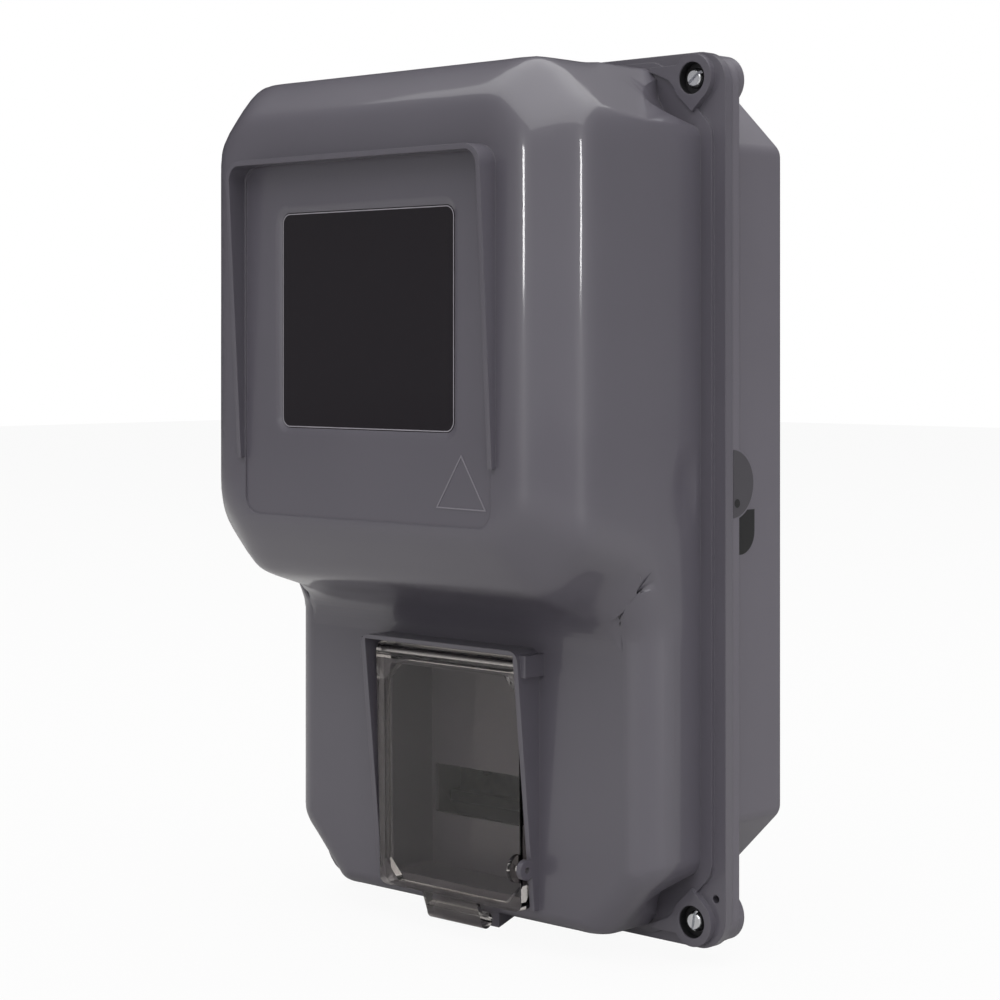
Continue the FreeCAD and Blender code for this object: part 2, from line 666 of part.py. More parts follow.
def cut_window(body):
    panel = rectangle("panel_in - visor_side", "visor_side - panel_in", "panel_low",
                      "visor_top - visor_wall", "panel_round")
    pocket(body, "front", "bulge_depth + wall", panel, "wall + panel_sunk")
    pocket(body, "front", "bulge_depth - panel_sunk", framed(*WINDOW, "window_rim"), "window_step",
           taper="-atan(window_rim / window_step)")
    pocket(body, "front", "bulge_depth + wall", framed(*WINDOW), "4 * wall")


def add_frame_pillars(body):
    stud(body, "front", FRAME_FRONT, WINDOW_SCREWS, "2 * small_screw_radius",
         "bulge_depth - wall / 2 - " + FRAME_FRONT)
    drill(body, "front", FRAME_FRONT, WINDOW_SCREWS, "small_screw_radius + thread_gap",
          "seal_height + pane_plate", backwards=True)


def make_visor():
    """A rain hood round the window that tapers towards its lower ends."""
    body = start_body("visor")
    top = "visor_top"
    legs = [
        ("-visor_side", "visor_low"), ("-visor_side + visor_wall", "visor_low"),
        ("-visor_side + visor_wall", "visor_top - visor_wall", "visor_round - visor_wall"),
        ("visor_side - visor_wall", "visor_top - visor_wall", "visor_round - visor_wall"),
        ("visor_side - visor_wall", "visor_low"), ("visor_side", "visor_low"),
        ("visor_side", top, "visor_round"), ("-visor_side", top, "visor_round"),
    ]
    pad(body, "front", "bulge_depth - wall / 2", legs, "visor_out + wall / 2")
    trim_front(body, "bulge_depth", "visor_top", "visor_out", "visor_low", "visor_end")
    return body


def trim_front(body, depth, high, high_out, low, low_out):
    """Cuts a raised rim to a slope, from a height standing out less to one standing out more."""
    past = "wall"
    slope = "((%s - %s) / (%s - %s))" % (high_out, low_out, high, low)
    wedge = [
        ("-(%s + %s + %s * %s)" % (depth, high_out, slope, past), "%s + %s" % (high, past)),
        ("-(%s + %s - %s * %s)" % (depth, low_out, slope, past), "%s - %s" % (low, past)),
        ("-(%s + %s + %s)" % (depth, high_out, past), "%s - %s" % (low, past)),
        ("-(%s + %s + %s)" % (depth, high_out, past), "%s + %s" % (high, past)),
    ]
    pocket(body, "side", "0", wedge, "2 * box_width", symmetric=True)


def make_hood():
    """A hood round the breaker lid, with a collar at its top."""
    body = start_body("hood")
    inner = "(hood_side - hood_wall)"
    legs = [
        ("-hood_side", "hood_low"), ("-" + inner, "hood_low"),
        ("-" + inner, "hood_top - hood_roof"), (inner, "hood_top - hood_roof"),
        (inner, "hood_low"), ("hood_side", "hood_low"),
        ("hood_side", "hood_top", "hood_round"), ("-hood_side", "hood_top", "hood_round"),
    ]
    pad(body, "front", "lower_depth - wall / 2", legs, "hood_out + wall / 2")
    outer = "(hood_side + collar_out)"
    for side in (-1, 1):
        near_edge, far_edge = "%d * (%s + hood_wall / 4)" % (side, inner), "%d * %s" % (side, outer)
        left, right = (near_edge, far_edge) if side > 0 else (far_edge, near_edge)
        block = rectangle(left, right, "hood_top - hood_roof - collar_high", "hood_top - hood_roof")
        pad(body, "front", "lower_depth - wall / 2", block, "hood_out - hood_wall + wall / 2")
    trim_front(body, "lower_depth", "hood_top", "hood_out", "hood_low", "hood_end")
    stud(body, "side", inner, [("-ear_depth", "ear_height")], "hood_ear_radius", "hood_wall")
    drill(body, "side", "hood_side + wall", [("-ear_depth", "ear_height")], "ear_hole",
          "hood_wall + 2 * wall")
    for backwards in (True, False):
        drill(body, "side", "0", [("-hinge_depth", "hinge_height")], "rod_radius",
              inner + " + rod_seat", backwards=backwards)
    return body


def add_lug(body):
    """A wedge under the cover that the pull tab of the lid closes against."""
    front = "(tab_depth - tab_radius - lid_gap)"
    bottom = "(box_height / 2 - flange_end)"
    wedge = [
        ("-" + front, "-%s + wall / 2" % bottom), ("-" + front, "-%s - lug_drop" % bottom),
        ("lug_length - " + front, "-" + bottom), ("lug_length - " + front, "-%s + wall / 2" % bottom),
    ]
    pad(body, "side", "0", wedge, "2 * lug_side", symmetric=True)


# Rear base
BASE_TOP = "(box_height / 2 - base_top_in)"
BASE_BOTTOM = "(base_low_in - box_height / 2)"


def tub_outline(inset):
    """Eight sided outline of the base tub, moved in by an inset."""
    wide = "(base_side - %s)" % inset
    cut = "(base_cut - %s * (2 - sqrt(2)))" % inset
    blend = "(base_blend - 0.8 * %s)" % inset
    top = "(%s - %s)" % (BASE_TOP, inset)
    bottom = "(%s + %s)" % (BASE_BOTTOM, inset)
    return [
        (wide + " - " + cut, bottom, blend), (wide, bottom + " + " + cut, blend),
        (wide, top + " - " + cut, blend), (wide + " - " + cut, top, blend),
        ("%s - %s" % (cut, wide), top, blend), ("-" + wide, top + " - " + cut, blend),
        ("-" + wide, bottom + " + " + cut, blend), ("%s - %s" % (cut, wide), bottom, blend),
    ]


PILLARS = [("%d * pillar_side" % x, z) for x in (-1, 1) for z in ("pillar_low", "pillar_high")]
RAIL_SCREWS = [("%d * rail_screw_side" % x, "(slot_high + slot_low) / 2") for x in (-1, 1)]
WALL_HOLES = [("%d * wall_hole_side" % x, z) for x in (-1, 1)
              for z in ("wall_hole_low", "wall_hole_high")]
GROMMETS = {"left": -1, "middle": 0, "right": 1}
BARS = {"neutral": -1, "earth": 1}


def bar_feet(side):
    """The two screws of a terminal bar holder."""
    reach = "(bar_length / 2 + 3 * small_screw_radius)"
    return [("%d * bar_middle + %d * %s" % (side, end, reach), "bar_level") for end in (-1, 1)]


def make_rear_base():
    body = start_body("rear_base")
    pad(body, "front", "0", tub_outline("0"), "base_depth")
    dress(body, "Fillet", "Radius", "wall", lambda p, e: near(p.y, "0"))
    pad(body, "front", "base_depth - base_flange", flange_outline("shadow_gap"), "base_flange")
    stud(body, "front", "base_boss_back", SCREWS, "base_boss_radius",
         "base_depth - base_boss_back")
    pocket(body, "front", "base_depth", tub_outline("wall"), "base_depth - wall")
    wide = wall_outline("-gasket_width")
    ring(body, "Pocket", "front", "base_depth", wide, wall_outline("0"), "gasket_height")
    drill(body, "front", "base_depth", SCREWS, "insert_radius",
          "base_depth - base_boss_back - wall / 2")
    stud(body, "front", "wall / 2", PILLARS, "pillar_radius", "plate_depth - wall / 2")
    drill(body, "front", "plate_depth", PILLARS, "small_screw_radius + thread_gap",
          "small_screw_length")
    stud(body, "front", "wall / 2", RAIL_SCREWS, "pillar_radius", "rail_seat - wall / 2")
    drill(body, "front", "rail_seat", RAIL_SCREWS, "small_screw_radius + thread_gap",
          "rail_screw_length - rail_wall + tip_gap")
    stud(body, "front", "wall / 2", WALL_HOLES, "2 * wall_hole_radius", "wall")
    drill(body, "front", "base_depth", WALL_HOLES, "wall_hole_radius", "through")
    feet = bar_feet(-1) + bar_feet(1)
    stud(body, "front", "wall / 2", feet, "foot_radius", "small_screw_length")
    drill(body, "front", "wall / 2 + small_screw_length", feet, "small_screw_radius + thread_gap",
          "small_screw_length - wall / 2")
    holes = [("%d * grommet_pitch" % n, "-grommet_depth") for n in GROMMETS.values()]
    drill(body, "top", BASE_BOTTOM + " - wall", holes, "grommet_radius", "3 * wall", backwards=True)
    drill(body, "front", "base_depth", [WIRE_HOLE], "wire_hole", "through")
    add_seal_disc(body)
    return body


def add_seal_disc(body):
    """A half disc on the right edge of the flange that takes the seal wire."""
    sketch = start_sketch(body, "side", "box_width / 2 - shadow_gap - seal_disc_wall")
    add_circle(sketch, "-base_depth", "seal_disc_height", "seal_disc")
    feature(body, "Pad", sketch, "seal_disc_wall")
    front = rectangle("-bulge_depth", "-base_depth", "seal_disc_height - 2 * seal_disc",
                      "seal_disc_height + 2 * seal_disc")
    pocket(body, "side", "box_width", front, "2 * box_width")
    spot = ("seal_hole_in - base_depth", "seal_disc_height - seal_hole_low")
    drill(body, "side", "box_width", [spot], "seal_hole", "box_width")


# Cover fittings
def make_cover_gasket():
    body = start_body("cover_gasket")
    ring(body, "Pad", "front", "base_depth - gasket_height", wall_outline("-gasket_width"),
         wall_outline("0"), "gasket_height")
    return body


def make_window_seal():
    body = start_body("window_seal")
    ring(body, "Pad", "front", "bulge_depth - wall - seal_height",
         framed(*WINDOW, "pane_overlap"), framed(*WINDOW, "pane_overlap - seal_width"),
         "seal_height")
    return body


def make_window_pane():
    body = start_body("window_pane")
    pad(body, "front", FRAME_FRONT, framed(*WINDOW, "pane_overlap"), "pane_plate")
    pad(body, "front", FRAME_FRONT, framed(*WINDOW, "-pane_clearance"),
        "pane_plate + seal_height + wall - pane_sunk")
    return body


def make_window_frame():
    body = start_body("window_frame")
    ring(body, "Pad", "front", FRAME_FRONT + " - frame_height",
         framed(*WINDOW, "pane_overlap + frame_width"), framed(*WINDOW, "0"), "frame_height")
    drill(body, "front", FRAME_FRONT, WINDOW_SCREWS, "small_screw_radius + screw_clearance",
          "frame_height + wall")
    return body


# Breaker lid
def make_breaker_lid():
    body = start_body("breaker_lid")
    back = "(lower_depth + lid_gap)"
    slope = "((hinge_depth + barrel_radius - lid_front_low) / (hinge_height - lid_low))"
    side_view = [
        ("-(hinge_depth + barrel_radius)", "hinge_height"), ("-lid_front_low", "lid_low"),
        ("-" + back, "lid_low"), ("-" + back, "recess_high + lid_wall"),
        ("-hinge_depth", "hinge_height"),
    ]
    pad(body, "side", "0", side_view, "2 * lid_side", symmetric=True)
    trim = rectangle("-lid_side", "lid_side", "lid_low", "2 * barrel_radius", "lid_round")
    outer = rectangle("-box_width", "box_width", "-box_height", "box_height")
    ring(body, "Pocket", "front", "lower_depth + hood_out", outer, trim, "hood_out")
    hollow_lid(body)
    stud(body, "side", "-lid_side", [("-hinge_depth", "hinge_height")], "barrel_radius",
         "2 * lid_side")
    add_tab(body)
    stud(body, "side", "lid_side - ear_wall", [("-ear_depth", "ear_height")], "ear_radius",
         "ear_wall")
    drill(body, "side", "lid_side + wall", [("-ear_depth", "ear_height")], "ear_hole",
          "ear_wall + 2 * wall")
    drill(body, "side", "lid_side", [("-hinge_depth", "hinge_height")],
          "rod_radius + rod_clearance", "through")
    return body


def hollow_lid(body):
    """Hollows the lid from behind, parallel to its sloping front, with slanted corners."""
    depth = "(hinge_depth + barrel_radius - lid_wall)"
    low_depth = "(lid_front_low - lid_wall)"
    wide = "(lid_side - lid_wall)"
    high = "(recess_high + lid_wall / 2)"
    low = "(lid_low + lid_wall)"
    cut = "lid_corner"
    inside = [
        ("%s - %s" % (wide, cut), low), (wide, "%s + %s" % (low, cut)),
        (wide, "%s - %s" % (high, cut)), ("%s - %s" % (wide, cut), high),
        ("%s - %s" % (cut, wide), high), ("-" + wide, "%s - %s" % (high, cut)),
        ("-" + wide, "%s + %s" % (low, cut)), ("%s - %s" % (cut, wide), low),
    ]
    pocket(body, "front", low_depth, inside, low_depth + " - lower_depth")


def add_tab(body):
    """The roll along the lower edge that a finger pulls."""
    web = [
        ("-lid_front_low", "lid_low + lid_wall"), ("-lid_front_low", "lid_low"),
        ("-(tab_depth + tab_radius)", "tab_height"), ("tab_wall - tab_depth - tab_radius", "tab_height"),
        ("tab_wall - lid_front_low", "lid_low"), ("tab_wall - lid_front_low", "lid_low + lid_wall"),
    ]
    pad(body, "side", "0", web, "2 * tab_side", symmetric=True)
    stud(body, "side", "-tab_side", [("-tab_depth", "tab_height")], "tab_radius", "2 * tab_side")


def make_hinge_rod():
    body = start_body("lid_hinge_rod")
    half = "(hood_side - hood_wall + rod_seat - rod_end_gap)"
    stud(body, "side", "-" + half, [("-hinge_depth", "hinge_height")], "rod_radius - rod_fit",
         "2 * " + half)
    return body


# Inside
def make_meter_plate():
    body = start_body("meter_plate")
    sheet_outline = rectangle("-plate_side", "plate_side", "plate_low", "plate_high",
                              "plate_round")
    pad(body, "front", "plate_depth", sheet_outline, "plate_wall")
    for side in (-1, 1):
        edge = "%d * plate_side" % side
        inner = "%d * (plate_side - plate_wall)" % side
        left, right = (inner, edge) if side > 0 else (edge, inner)
        pad(body, "front", "plate_depth - plate_lip",
            rectangle(left, right, "plate_low + lip_in", "plate_high - lip_in"), "plate_lip + plate_wall / 2")
    drill(body, "front", "plate_depth + wall", PILLARS, "small_screw_radius + screw_clearance",
          "3 * wall")
    for side in (-1, 0, 1):
        add_slot(body, "%d * plate_side / 2" % side, "plate_low + slot_in", "plate_high - slot_in")
    return body


def add_slot(body, x, low, high):
    outline = rectangle(x + " - slot_half", x + " + slot_half", low, high, "0.95 * slot_half")
    pocket(body, "front", "plate_depth + wall", outline, "3 * wall")


def make_din_rail():
    body = start_body("din_rail")
    level = "((slot_high + slot_low) / 2)"
    half = "(rail_height / 2)"
    inner = "(rail_channel / 2)"
    back = "-rail_seat"
    front = "-(rail_seat + rail_depth)"
    profile = [
        (back, "%s - %s" % (level, inner)), (back, "%s + %s" % (level, inner)),
        (front + " + rail_wall", "%s + %s" % (level, inner)),
        (front + " + rail_wall", "%s + %s" % (level, half)), (front, "%s + %s" % (level, half)),
        (front, "%s + %s - rail_wall" % (level, inner)),
        (back + " - rail_wall", "%s + %s - rail_wall" % (level, inner)),
        (back + " - rail_wall", "%s - %s + rail_wall" % (level, inner)),
        (front, "%s - %s + rail_wall" % (level, inner)), (front, "%s - %s" % (level, half)),
        (front + " + rail_wall", "%s - %s" % (level, half)),
        (front + " + rail_wall", "%s - %s" % (level, inner)),
    ]
    pad(body, "side", "0", profile, "2 * rail_side", symmetric=True)
    drill(body, "front", "rail_seat + rail_depth", RAIL_SCREWS,
          "small_screw_radius + screw_clearance", "2 * rail_depth")
    return body


def make_bar_holder(name, side):
    body = start_body(name + "_bar_holder")
    foot = "wall / 2 + small_screw_length"
    middle = "(%d * bar_middle)" % side
    reach = "(bar_length / 2 + 6 * small_screw_radius)"
    high = "(bar_height / 2 + holder_margin)"
    pad(body, "front", foot, rectangle("%s - %s" % (middle, reach), "%s + %s" % (middle, reach),
        "bar_level - " + high, "bar_level + " + high, "holder_round"), "wall")
    along, across = "(bar_length / 2 - holder_step)", "(bar_height / 2 + holder_step)"
    pad(body, "front", foot, rectangle("%s - %s" % (middle, along), "%s + %s" % (middle, along),
        "bar_level - " + across, "bar_level + " + across), "bar_stand")
    drill(body, "front", foot + " + 2 * wall", bar_feet(side),
          "small_screw_radius + screw_clearance", "4 * wall")
    return body


BAR_BACK = "(wall / 2 + small_screw_length + bar_stand)"


def bar_screw_spots(side):
    return [("%d * bar_middle + %.1f * bar_pitch" % (side, n), "bar_level")
            for n in (-2.5, -1.5, -0.5, 0.5, 1.5, 2.5)]


def make_bar(name, side):
    body = start_body(name + "_bar")
    middle = "%d * bar_middle" % side
    pad(body, "front", BAR_BACK, rectangle(middle + " - bar_length / 2", middle + " + bar_length / 2",
        "bar_level - bar_height / 2", "bar_level + bar_height / 2"), "bar_depth")
    spots = bar_screw_spots(side)
    drill(body, "front", BAR_BACK + " + bar_depth", spots, "terminal_radius + thread_gap",
          "terminal_deep")
    wires = [(x, "-%s - bar_depth / 2" % BAR_BACK) for x, z in spots]
    drill(body, "top", "bar_level - bar_height", wires, "terminal_hole", "2 * bar_height",
          backwards=True)
    return body


def make_grommet(name, place):
    """A ring with a groove for the wall and a thin skin across it."""
    body = start_body("cable_grommet_" + name)
    spot = [("%d * grommet_pitch" % place, "-grommet_depth")]
    stud(body, "top", BASE_BOTTOM + " - grommet_lip", spot, "grommet_radius + grommet_lip",
         "grommet_lip")
    stud(body, "top", BASE_BOTTOM + " - grommet_lip", spot, "grommet_radius - grommet_gap",
         "wall + 2 * grommet_lip")
    stud(body, "top", BASE_BOTTOM + " + wall", spot, "grommet_radius + grommet_lip / 2", "grommet_lip")
    drill(body, "top", BASE_BOTTOM + " - 2 * grommet_lip", spot, "grommet_radius - grommet_lip",
          "2 * grommet_lip + wall", backwards=True)
    drill(body, "top", BASE_BOTTOM + " + wall + 2 * grommet_lip", spot,
          "grommet_radius - grommet_lip", "2 * grommet_lip - grommet_skin")
    return body


# Fasteners
DRIVE_WIDTH = 0.32  # width and depth of a head's slot, as shares of its radius and its height
DRIVE_DEPTH = 0.45


def round_piece(name, x, depth, z, radius, length):
    """A cylinder along Y whose front end lies at a depth before the wall."""
    piece = doc.addObject("Part::Cylinder", name)
    bind(piece, "Radius", radius)
    bind(piece, "Height", length)
    piece.Placement.Rotation = FreeCAD.Rotation(Vector(1, 0, 0), -90)
    bind(piece, "Placement.Base.x", x)
    bind(piece, "Placement.Base.y", "-(%s)" % depth)
    bind(piece, "Placement.Base.z", z)
    return piece


def cross_slot(name, x, depth, z, radius, deep):
    slot = doc.addObject("Part::Box", name)
    bind(slot, "Length", "2 * (%s)" % radius)
    bind(slot, "Width", deep)
    bind(slot, "Height", "%s * (%s)" % (DRIVE_WIDTH, radius))
    bind(slot, "Placement.Base.x", "%s - (%s)" % (x, radius))
    bind(slot, "Placement.Base.y", "-(%s)" % depth)
    bind(slot, "Placement.Base.z", "%s - %s * (%s)" % (z, DRIVE_WIDTH / 2, radius))
    return slot


def make_screws(name, spots, seat, head, head_height, shank, length, facing=1):
    """A group of like screws. Facing is 1 where the heads look forward and -1 where back."""
    made = []
    for index, (x, z) in enumerate(spots):
        tag = "%s_%d" % (name, index)
        front = "%s + %s" % (seat, head_height if facing > 0 else length)
        deep = "%s * (%s)" % (DRIVE_DEPTH, head_height)
        if facing > 0:
            head_piece = round_piece(tag + "_head", x, front, z, head, head_height)
            shank_piece = round_piece(tag + "_shank", x, seat, z, shank, length)
            slot = cross_slot(tag + "_slot", x, front, z, head, deep)
        else:
            head_piece = round_piece(tag + "_head", x, seat, z, head, head_height)
            shank_piece = round_piece(tag + "_shank", x, front, z, shank, length)
            slot_front = "%s - %s * %s" % (seat, 1 - DRIVE_DEPTH, head_height)
            slot = cross_slot(tag + "_slot", x, slot_front, z, head, deep)
        whole = doc.addObject("Part::MultiFuse", tag + "_body")
        whole.Shapes = [head_piece, shank_piece]
        slotted = doc.addObject("Part::Cut", tag)
        slotted.Base, slotted.Tool = whole, slot
        made.append(slotted)
    return group(name, made)


def group(name, pieces):
    together = doc.addObject("Part::Compound", name)
    together.Label = name
    together.Links = pieces
    doc.recompute()
    return together


def make_inserts():
    made = []
    for index, (x, z) in enumerate(SCREWS):
        tag = "cover_insert_%d" % index
        top = "base_depth - insert_sunk"
        outside = round_piece(tag + "_outside", x, top, z, "insert_radius - thread_gap",
                              "insert_length")
        hole = round_piece(tag + "_hole", x, top + " + wall", z, "screw_radius + thread_gap",
                           "insert_length + 2 * wall")
        ringed = doc.addObject("Part::Cut", tag)
        ringed.Base, ringed.Tool = outside, hole
        made.append(ringed)
    return group("cover_inserts", made)


def make_small_screws():
    small = ("small_head_radius", "small_head_height", "small_screw_radius")
    foot = "wall / 2 + small_screw_length + wall"
    return [
        make_screws("cover_screws", SCREWS, "seat_depth", "head_radius", "head_height",
                    "screw_radius", "screw_length"),
        make_screws("window_screws", WINDOW_SCREWS, FRAME_FRONT + " - frame_height",
                    *small, "frame_height + seal_height + pane_plate - tip_gap", facing=-1),
        make_screws("plate_screws", PILLARS, "plate_depth + plate_wall", *small,
                    "small_screw_length"),
        make_screws("rail_screws", RAIL_SCREWS, "rail_seat + rail_wall", *small,
                    "rail_screw_length"),
        make_screws("holder_screws", bar_feet(-1) + bar_feet(1), foot, *small,
                    "small_screw_length"),
    ]


def make_terminal_screws(name, side):
    return make_screws(name + "_bar_screws", bar_screw_spots(side), BAR_BACK + " + bar_depth",
                       "1.5 * terminal_radius", "terminal_radius", "terminal_radius",
                       "terminal_deep - tip_gap / 4")


# Check and write
def write_parts(parts):
    bad = [t.Name for t in doc.Objects if "Invalid" in t.State or "Error" in t.State]
    if bad:
        raise RuntimeError("failed features: " + ", ".join(bad))
    for part in parts:
        shape = part.Shape
        if shape.isNull() or not shape.isValid():
            raise RuntimeError("bad shape: " + part.Label)
        shape.exportStep("parts/%s.step" % part.Label)
        print("%-24s %7.1f cm3 %3d solids" % (part.Label, shape.Volume / 1000, len(shape.Solids)))


parts = [make_front_cover(), make_rear_base(), make_cover_gasket(), make_inserts(),
         make_window_pane(), make_window_seal(), make_window_frame(), make_breaker_lid(),
         make_hinge_rod(), make_meter_plate(), make_din_rail()]
parts += make_small_screws()
for name, side in BARS.items():
    parts += [make_bar(name, side), make_bar_holder(name, side), make_terminal_screws(name, side)]
parts += [make_grommet(name, place) for name, place in GROMMETS.items()]
write_parts(parts)
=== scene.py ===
import json
import math
import bpy
import bmesh
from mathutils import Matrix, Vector
from mathutils.kdtree import KDTree


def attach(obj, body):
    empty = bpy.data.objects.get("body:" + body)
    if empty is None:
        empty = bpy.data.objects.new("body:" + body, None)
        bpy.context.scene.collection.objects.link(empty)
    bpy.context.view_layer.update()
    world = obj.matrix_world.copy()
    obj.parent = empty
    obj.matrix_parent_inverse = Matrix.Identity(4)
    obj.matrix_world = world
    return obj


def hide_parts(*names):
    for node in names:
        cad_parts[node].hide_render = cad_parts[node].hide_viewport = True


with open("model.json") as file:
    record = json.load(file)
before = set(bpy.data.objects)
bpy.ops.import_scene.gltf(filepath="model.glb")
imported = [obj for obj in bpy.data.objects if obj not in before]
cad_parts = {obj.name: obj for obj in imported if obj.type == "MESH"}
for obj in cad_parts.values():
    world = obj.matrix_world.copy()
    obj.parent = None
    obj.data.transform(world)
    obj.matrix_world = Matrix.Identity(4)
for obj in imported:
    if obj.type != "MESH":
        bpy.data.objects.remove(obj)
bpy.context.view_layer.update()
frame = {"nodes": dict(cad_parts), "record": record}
print("meter box: CAD frame loaded,", len(frame["nodes"]), "nodes")


def metres(*values):
    # shapes are given in millimetres, and Blender's coordinates are in metres
    return tuple(value / 1000 for value in values)


def clamp(value, low=0.0, high=1.0):
    return min(max(value, low), high)


def eased(share):
    # a share from 0 to 1 that starts and ends softly
    return share * share * (3 - 2 * share)


def linearColour(hexCode):
    # sRGB hex to the linear values that Blender's shaders take
    channels = [int(hexCode[i:i + 2], 16) / 255 for i in (1, 3, 5)]
    return [c / 12.92 if c <= 0.04045 else ((c + 0.055) / 1.055) ** 2.4 for c in channels] + [1.0]


def addNode(tree, kind, props=None, values=None, links=None):
    node = tree.nodes.new(kind)
    for name, value in (props or {}).items():
        setattr(node, name, value)
    for name, value in (values or {}).items():
        node.inputs[name].default_value = value
    for name, socket in (links or {}).items():
        tree.links.new(socket, node.inputs[name])
    return node


def newMaterial(name):
    # an empty material with its shader already wired to the output
    material = bpy.data.materials.new(name)
    material.use_nodes = True
    tree = material.node_tree
    tree.nodes.clear()
    shader = addNode(tree, "ShaderNodeBsdfPrincipled")
    output = addNode(tree, "ShaderNodeOutputMaterial")
    tree.links.new(shader.outputs[0], output.inputs["Surface"])
    place = addNode(tree, "ShaderNodeTexCoord")
    return material, tree, shader, place.outputs["Object"]


def scaleFor(size):
    # noise scale that gives spots of this size in millimetres on coordinates in metres
    return 1000 / size


# what all moulded plastic here has in common; bumpReach is in metres
moulding = {"bend": 1.46, "coatGloss": 0.07, "bumpReach": 0.0001, "edgeSamples": 4}


def mouldedPlastic(name, look):
    # injection moulded ABS or polycarbonate blend: fine spark eroded grain, faint flow clouds, soft gloss
    material, tree, shader, place = newMaterial(name)
    clouds = addNode(tree, "ShaderNodeTexNoise", links={"Vector": place},
                     values={"Scale": scaleFor(look["cloudSize"]), "Detail": 3.0})
    # inputs 6 and 7 of a colour mix are its two colours, and output 2 is the mixed one
    tone = addNode(tree, "ShaderNodeMix", props={"data_type": "RGBA"},
                   values={6: linearColour(look["dark"]), 7: linearColour(look["light"])},
                   links={"Factor": clouds.outputs["Fac"]})
    tree.links.new(tone.outputs[2], shader.inputs["Base Color"])
    gloss = addNode(tree, "ShaderNodeMapRange", links={"Value": clouds.outputs["Fac"]},
                    values={"To Min": look["gloss"][0], "To Max": look["gloss"][1]})
    tree.links.new(gloss.outputs["Result"], shader.inputs["Roughness"])
    grain = addNode(tree, "ShaderNodeTexNoise", links={"Vector": place},
                    values={"Scale": scaleFor(look["grainSize"]), "Detail": 2.0})
    edges = addNode(tree, "ShaderNodeBevel", props={"samples": moulding["edgeSamples"]},
                    values={"Radius": look["edge"]})
    bump = addNode(tree, "ShaderNodeBump",
                   values={"Strength": look["grainDepth"], "Distance": moulding["bumpReach"]},
                   links={"Height": grain.outputs["Fac"], "Normal": edges.outputs["Normal"]})
    tree.links.new(bump.outputs["Normal"], shader.inputs["Normal"])
    shader.inputs["IOR"].default_value = moulding["bend"]
    shader.inputs["Coat Weight"].default_value = look.get("coat", 0.0)
    shader.inputs["Coat Roughness"].default_value = moulding["coatGloss"]
    return material


# colours in sRGB; clouds and grain in millimetres; the softened edge in metres
coverLook = {"dark": "#4A474F", "light": "#514E56", "gloss": (0.36, 0.44), "cloudSize": 90, "grainSize": 0.6,
             "grainDepth": 0.06, "edge": 0.0006, "coat": 0.5}
# painted shade: a darker copy of the cover plastic, for the shaded face of the seal tab
paintedShadeLook = {"dark": "#37353A", "light": "#3E3C41", "gloss": (0.42, 0.50), "cloudSize": 30, "grainSize": 0.6,
              "grainDepth": 0.05, "edge": 0.0001}
# painted shade: near-black plastic that stands for the deep shade in the seal tab's hole, the finger pocket
# and the screw wells
deepLook = {"dark": "#0C0C0E", "light": "#131215", "gloss": (0.55, 0.62), "cloudSize": 20, "grainSize": 0.6,
            "grainDepth": 0.05, "edge": 0.00005}
# painted highlight: a light grey for the line of light caught on the pane's edge
paneEdgeHighlightLook = {"dark": "#77747A", "light": "#8E8B92", "gloss": (0.20, 0.28), "cloudSize": 12,
                "grainSize": 0.6, "grainDepth": 0.05, "edge": 0.00005}
# painted highlight: a lighter copy of the cover plastic for the raised outline
outlineHighlightLook = {"dark": "#6A676E", "light": "#76737A", "gloss": (0.30, 0.36), "cloudSize": 30,
               "grainSize": 0.6, "grainDepth": 0.05, "edge": 0.0001}
baseLook = {"dark": "#555259", "light": "#5D5A62", "gloss": (0.38, 0.46), "cloudSize": 90, "grainSize": 0.6,
            "grainDepth": 0.10, "edge": 0.0006}
frameLook = {"dark": "#1E1D20", "light": "#242326", "gloss": (0.40, 0.50), "cloudSize": 40, "grainSize": 0.5,
             "grainDepth": 0.15, "edge": 0.0003}
holderLook = {"dark": "#8C8C8E", "light": "#9A9A9C", "gloss": (0.42, 0.52), "cloudSize": 30, "grainSize": 0.5,
              "grainDepth": 0.15, "edge": 0.0003}


def clearPlastic(name, look):
    # clear moulded polycarbonate: it lets the light through and shows mostly by its edges
    material, tree, shader, place = newMaterial(name)
    flow = addNode(tree, "ShaderNodeTexNoise", links={"Vector": place},
                   values={"Scale": scaleFor(look["waveSize"]), "Detail": 1.0})
    bump = addNode(tree, "ShaderNodeBump", links={"Height": flow.outputs["Fac"]},
                   values={"Strength": look["waveDepth"], "Distance": 0.0002})
    tree.links.new(bump.outputs["Normal"], shader.inputs["Normal"])
    shader.inputs["Base Color"].default_value = linearColour(look["colour"])
    shader.inputs["Roughness"].default_value = look["gloss"]
    shader.inputs["Transmission Weight"].default_value = look["through"]
    shader.inputs["IOR"].default_value = look["bend"]
    shader.inputs["Specular IOR Level"].default_value = look["mirror"]
    return material


lidLook = {"colour": "#EAE6E3", "gloss": 0.03, "through": 1.0, "bend": 1.35, "mirror": 0.22, "waveSize": 40,
           "waveDepth": 0.02}
paneLook = {"colour": "#252226", "gloss": 0.10, "through": 0.25, "bend": 1.45, "mirror": 0.10, "waveSize": 80,
            "waveDepth": 0.02}


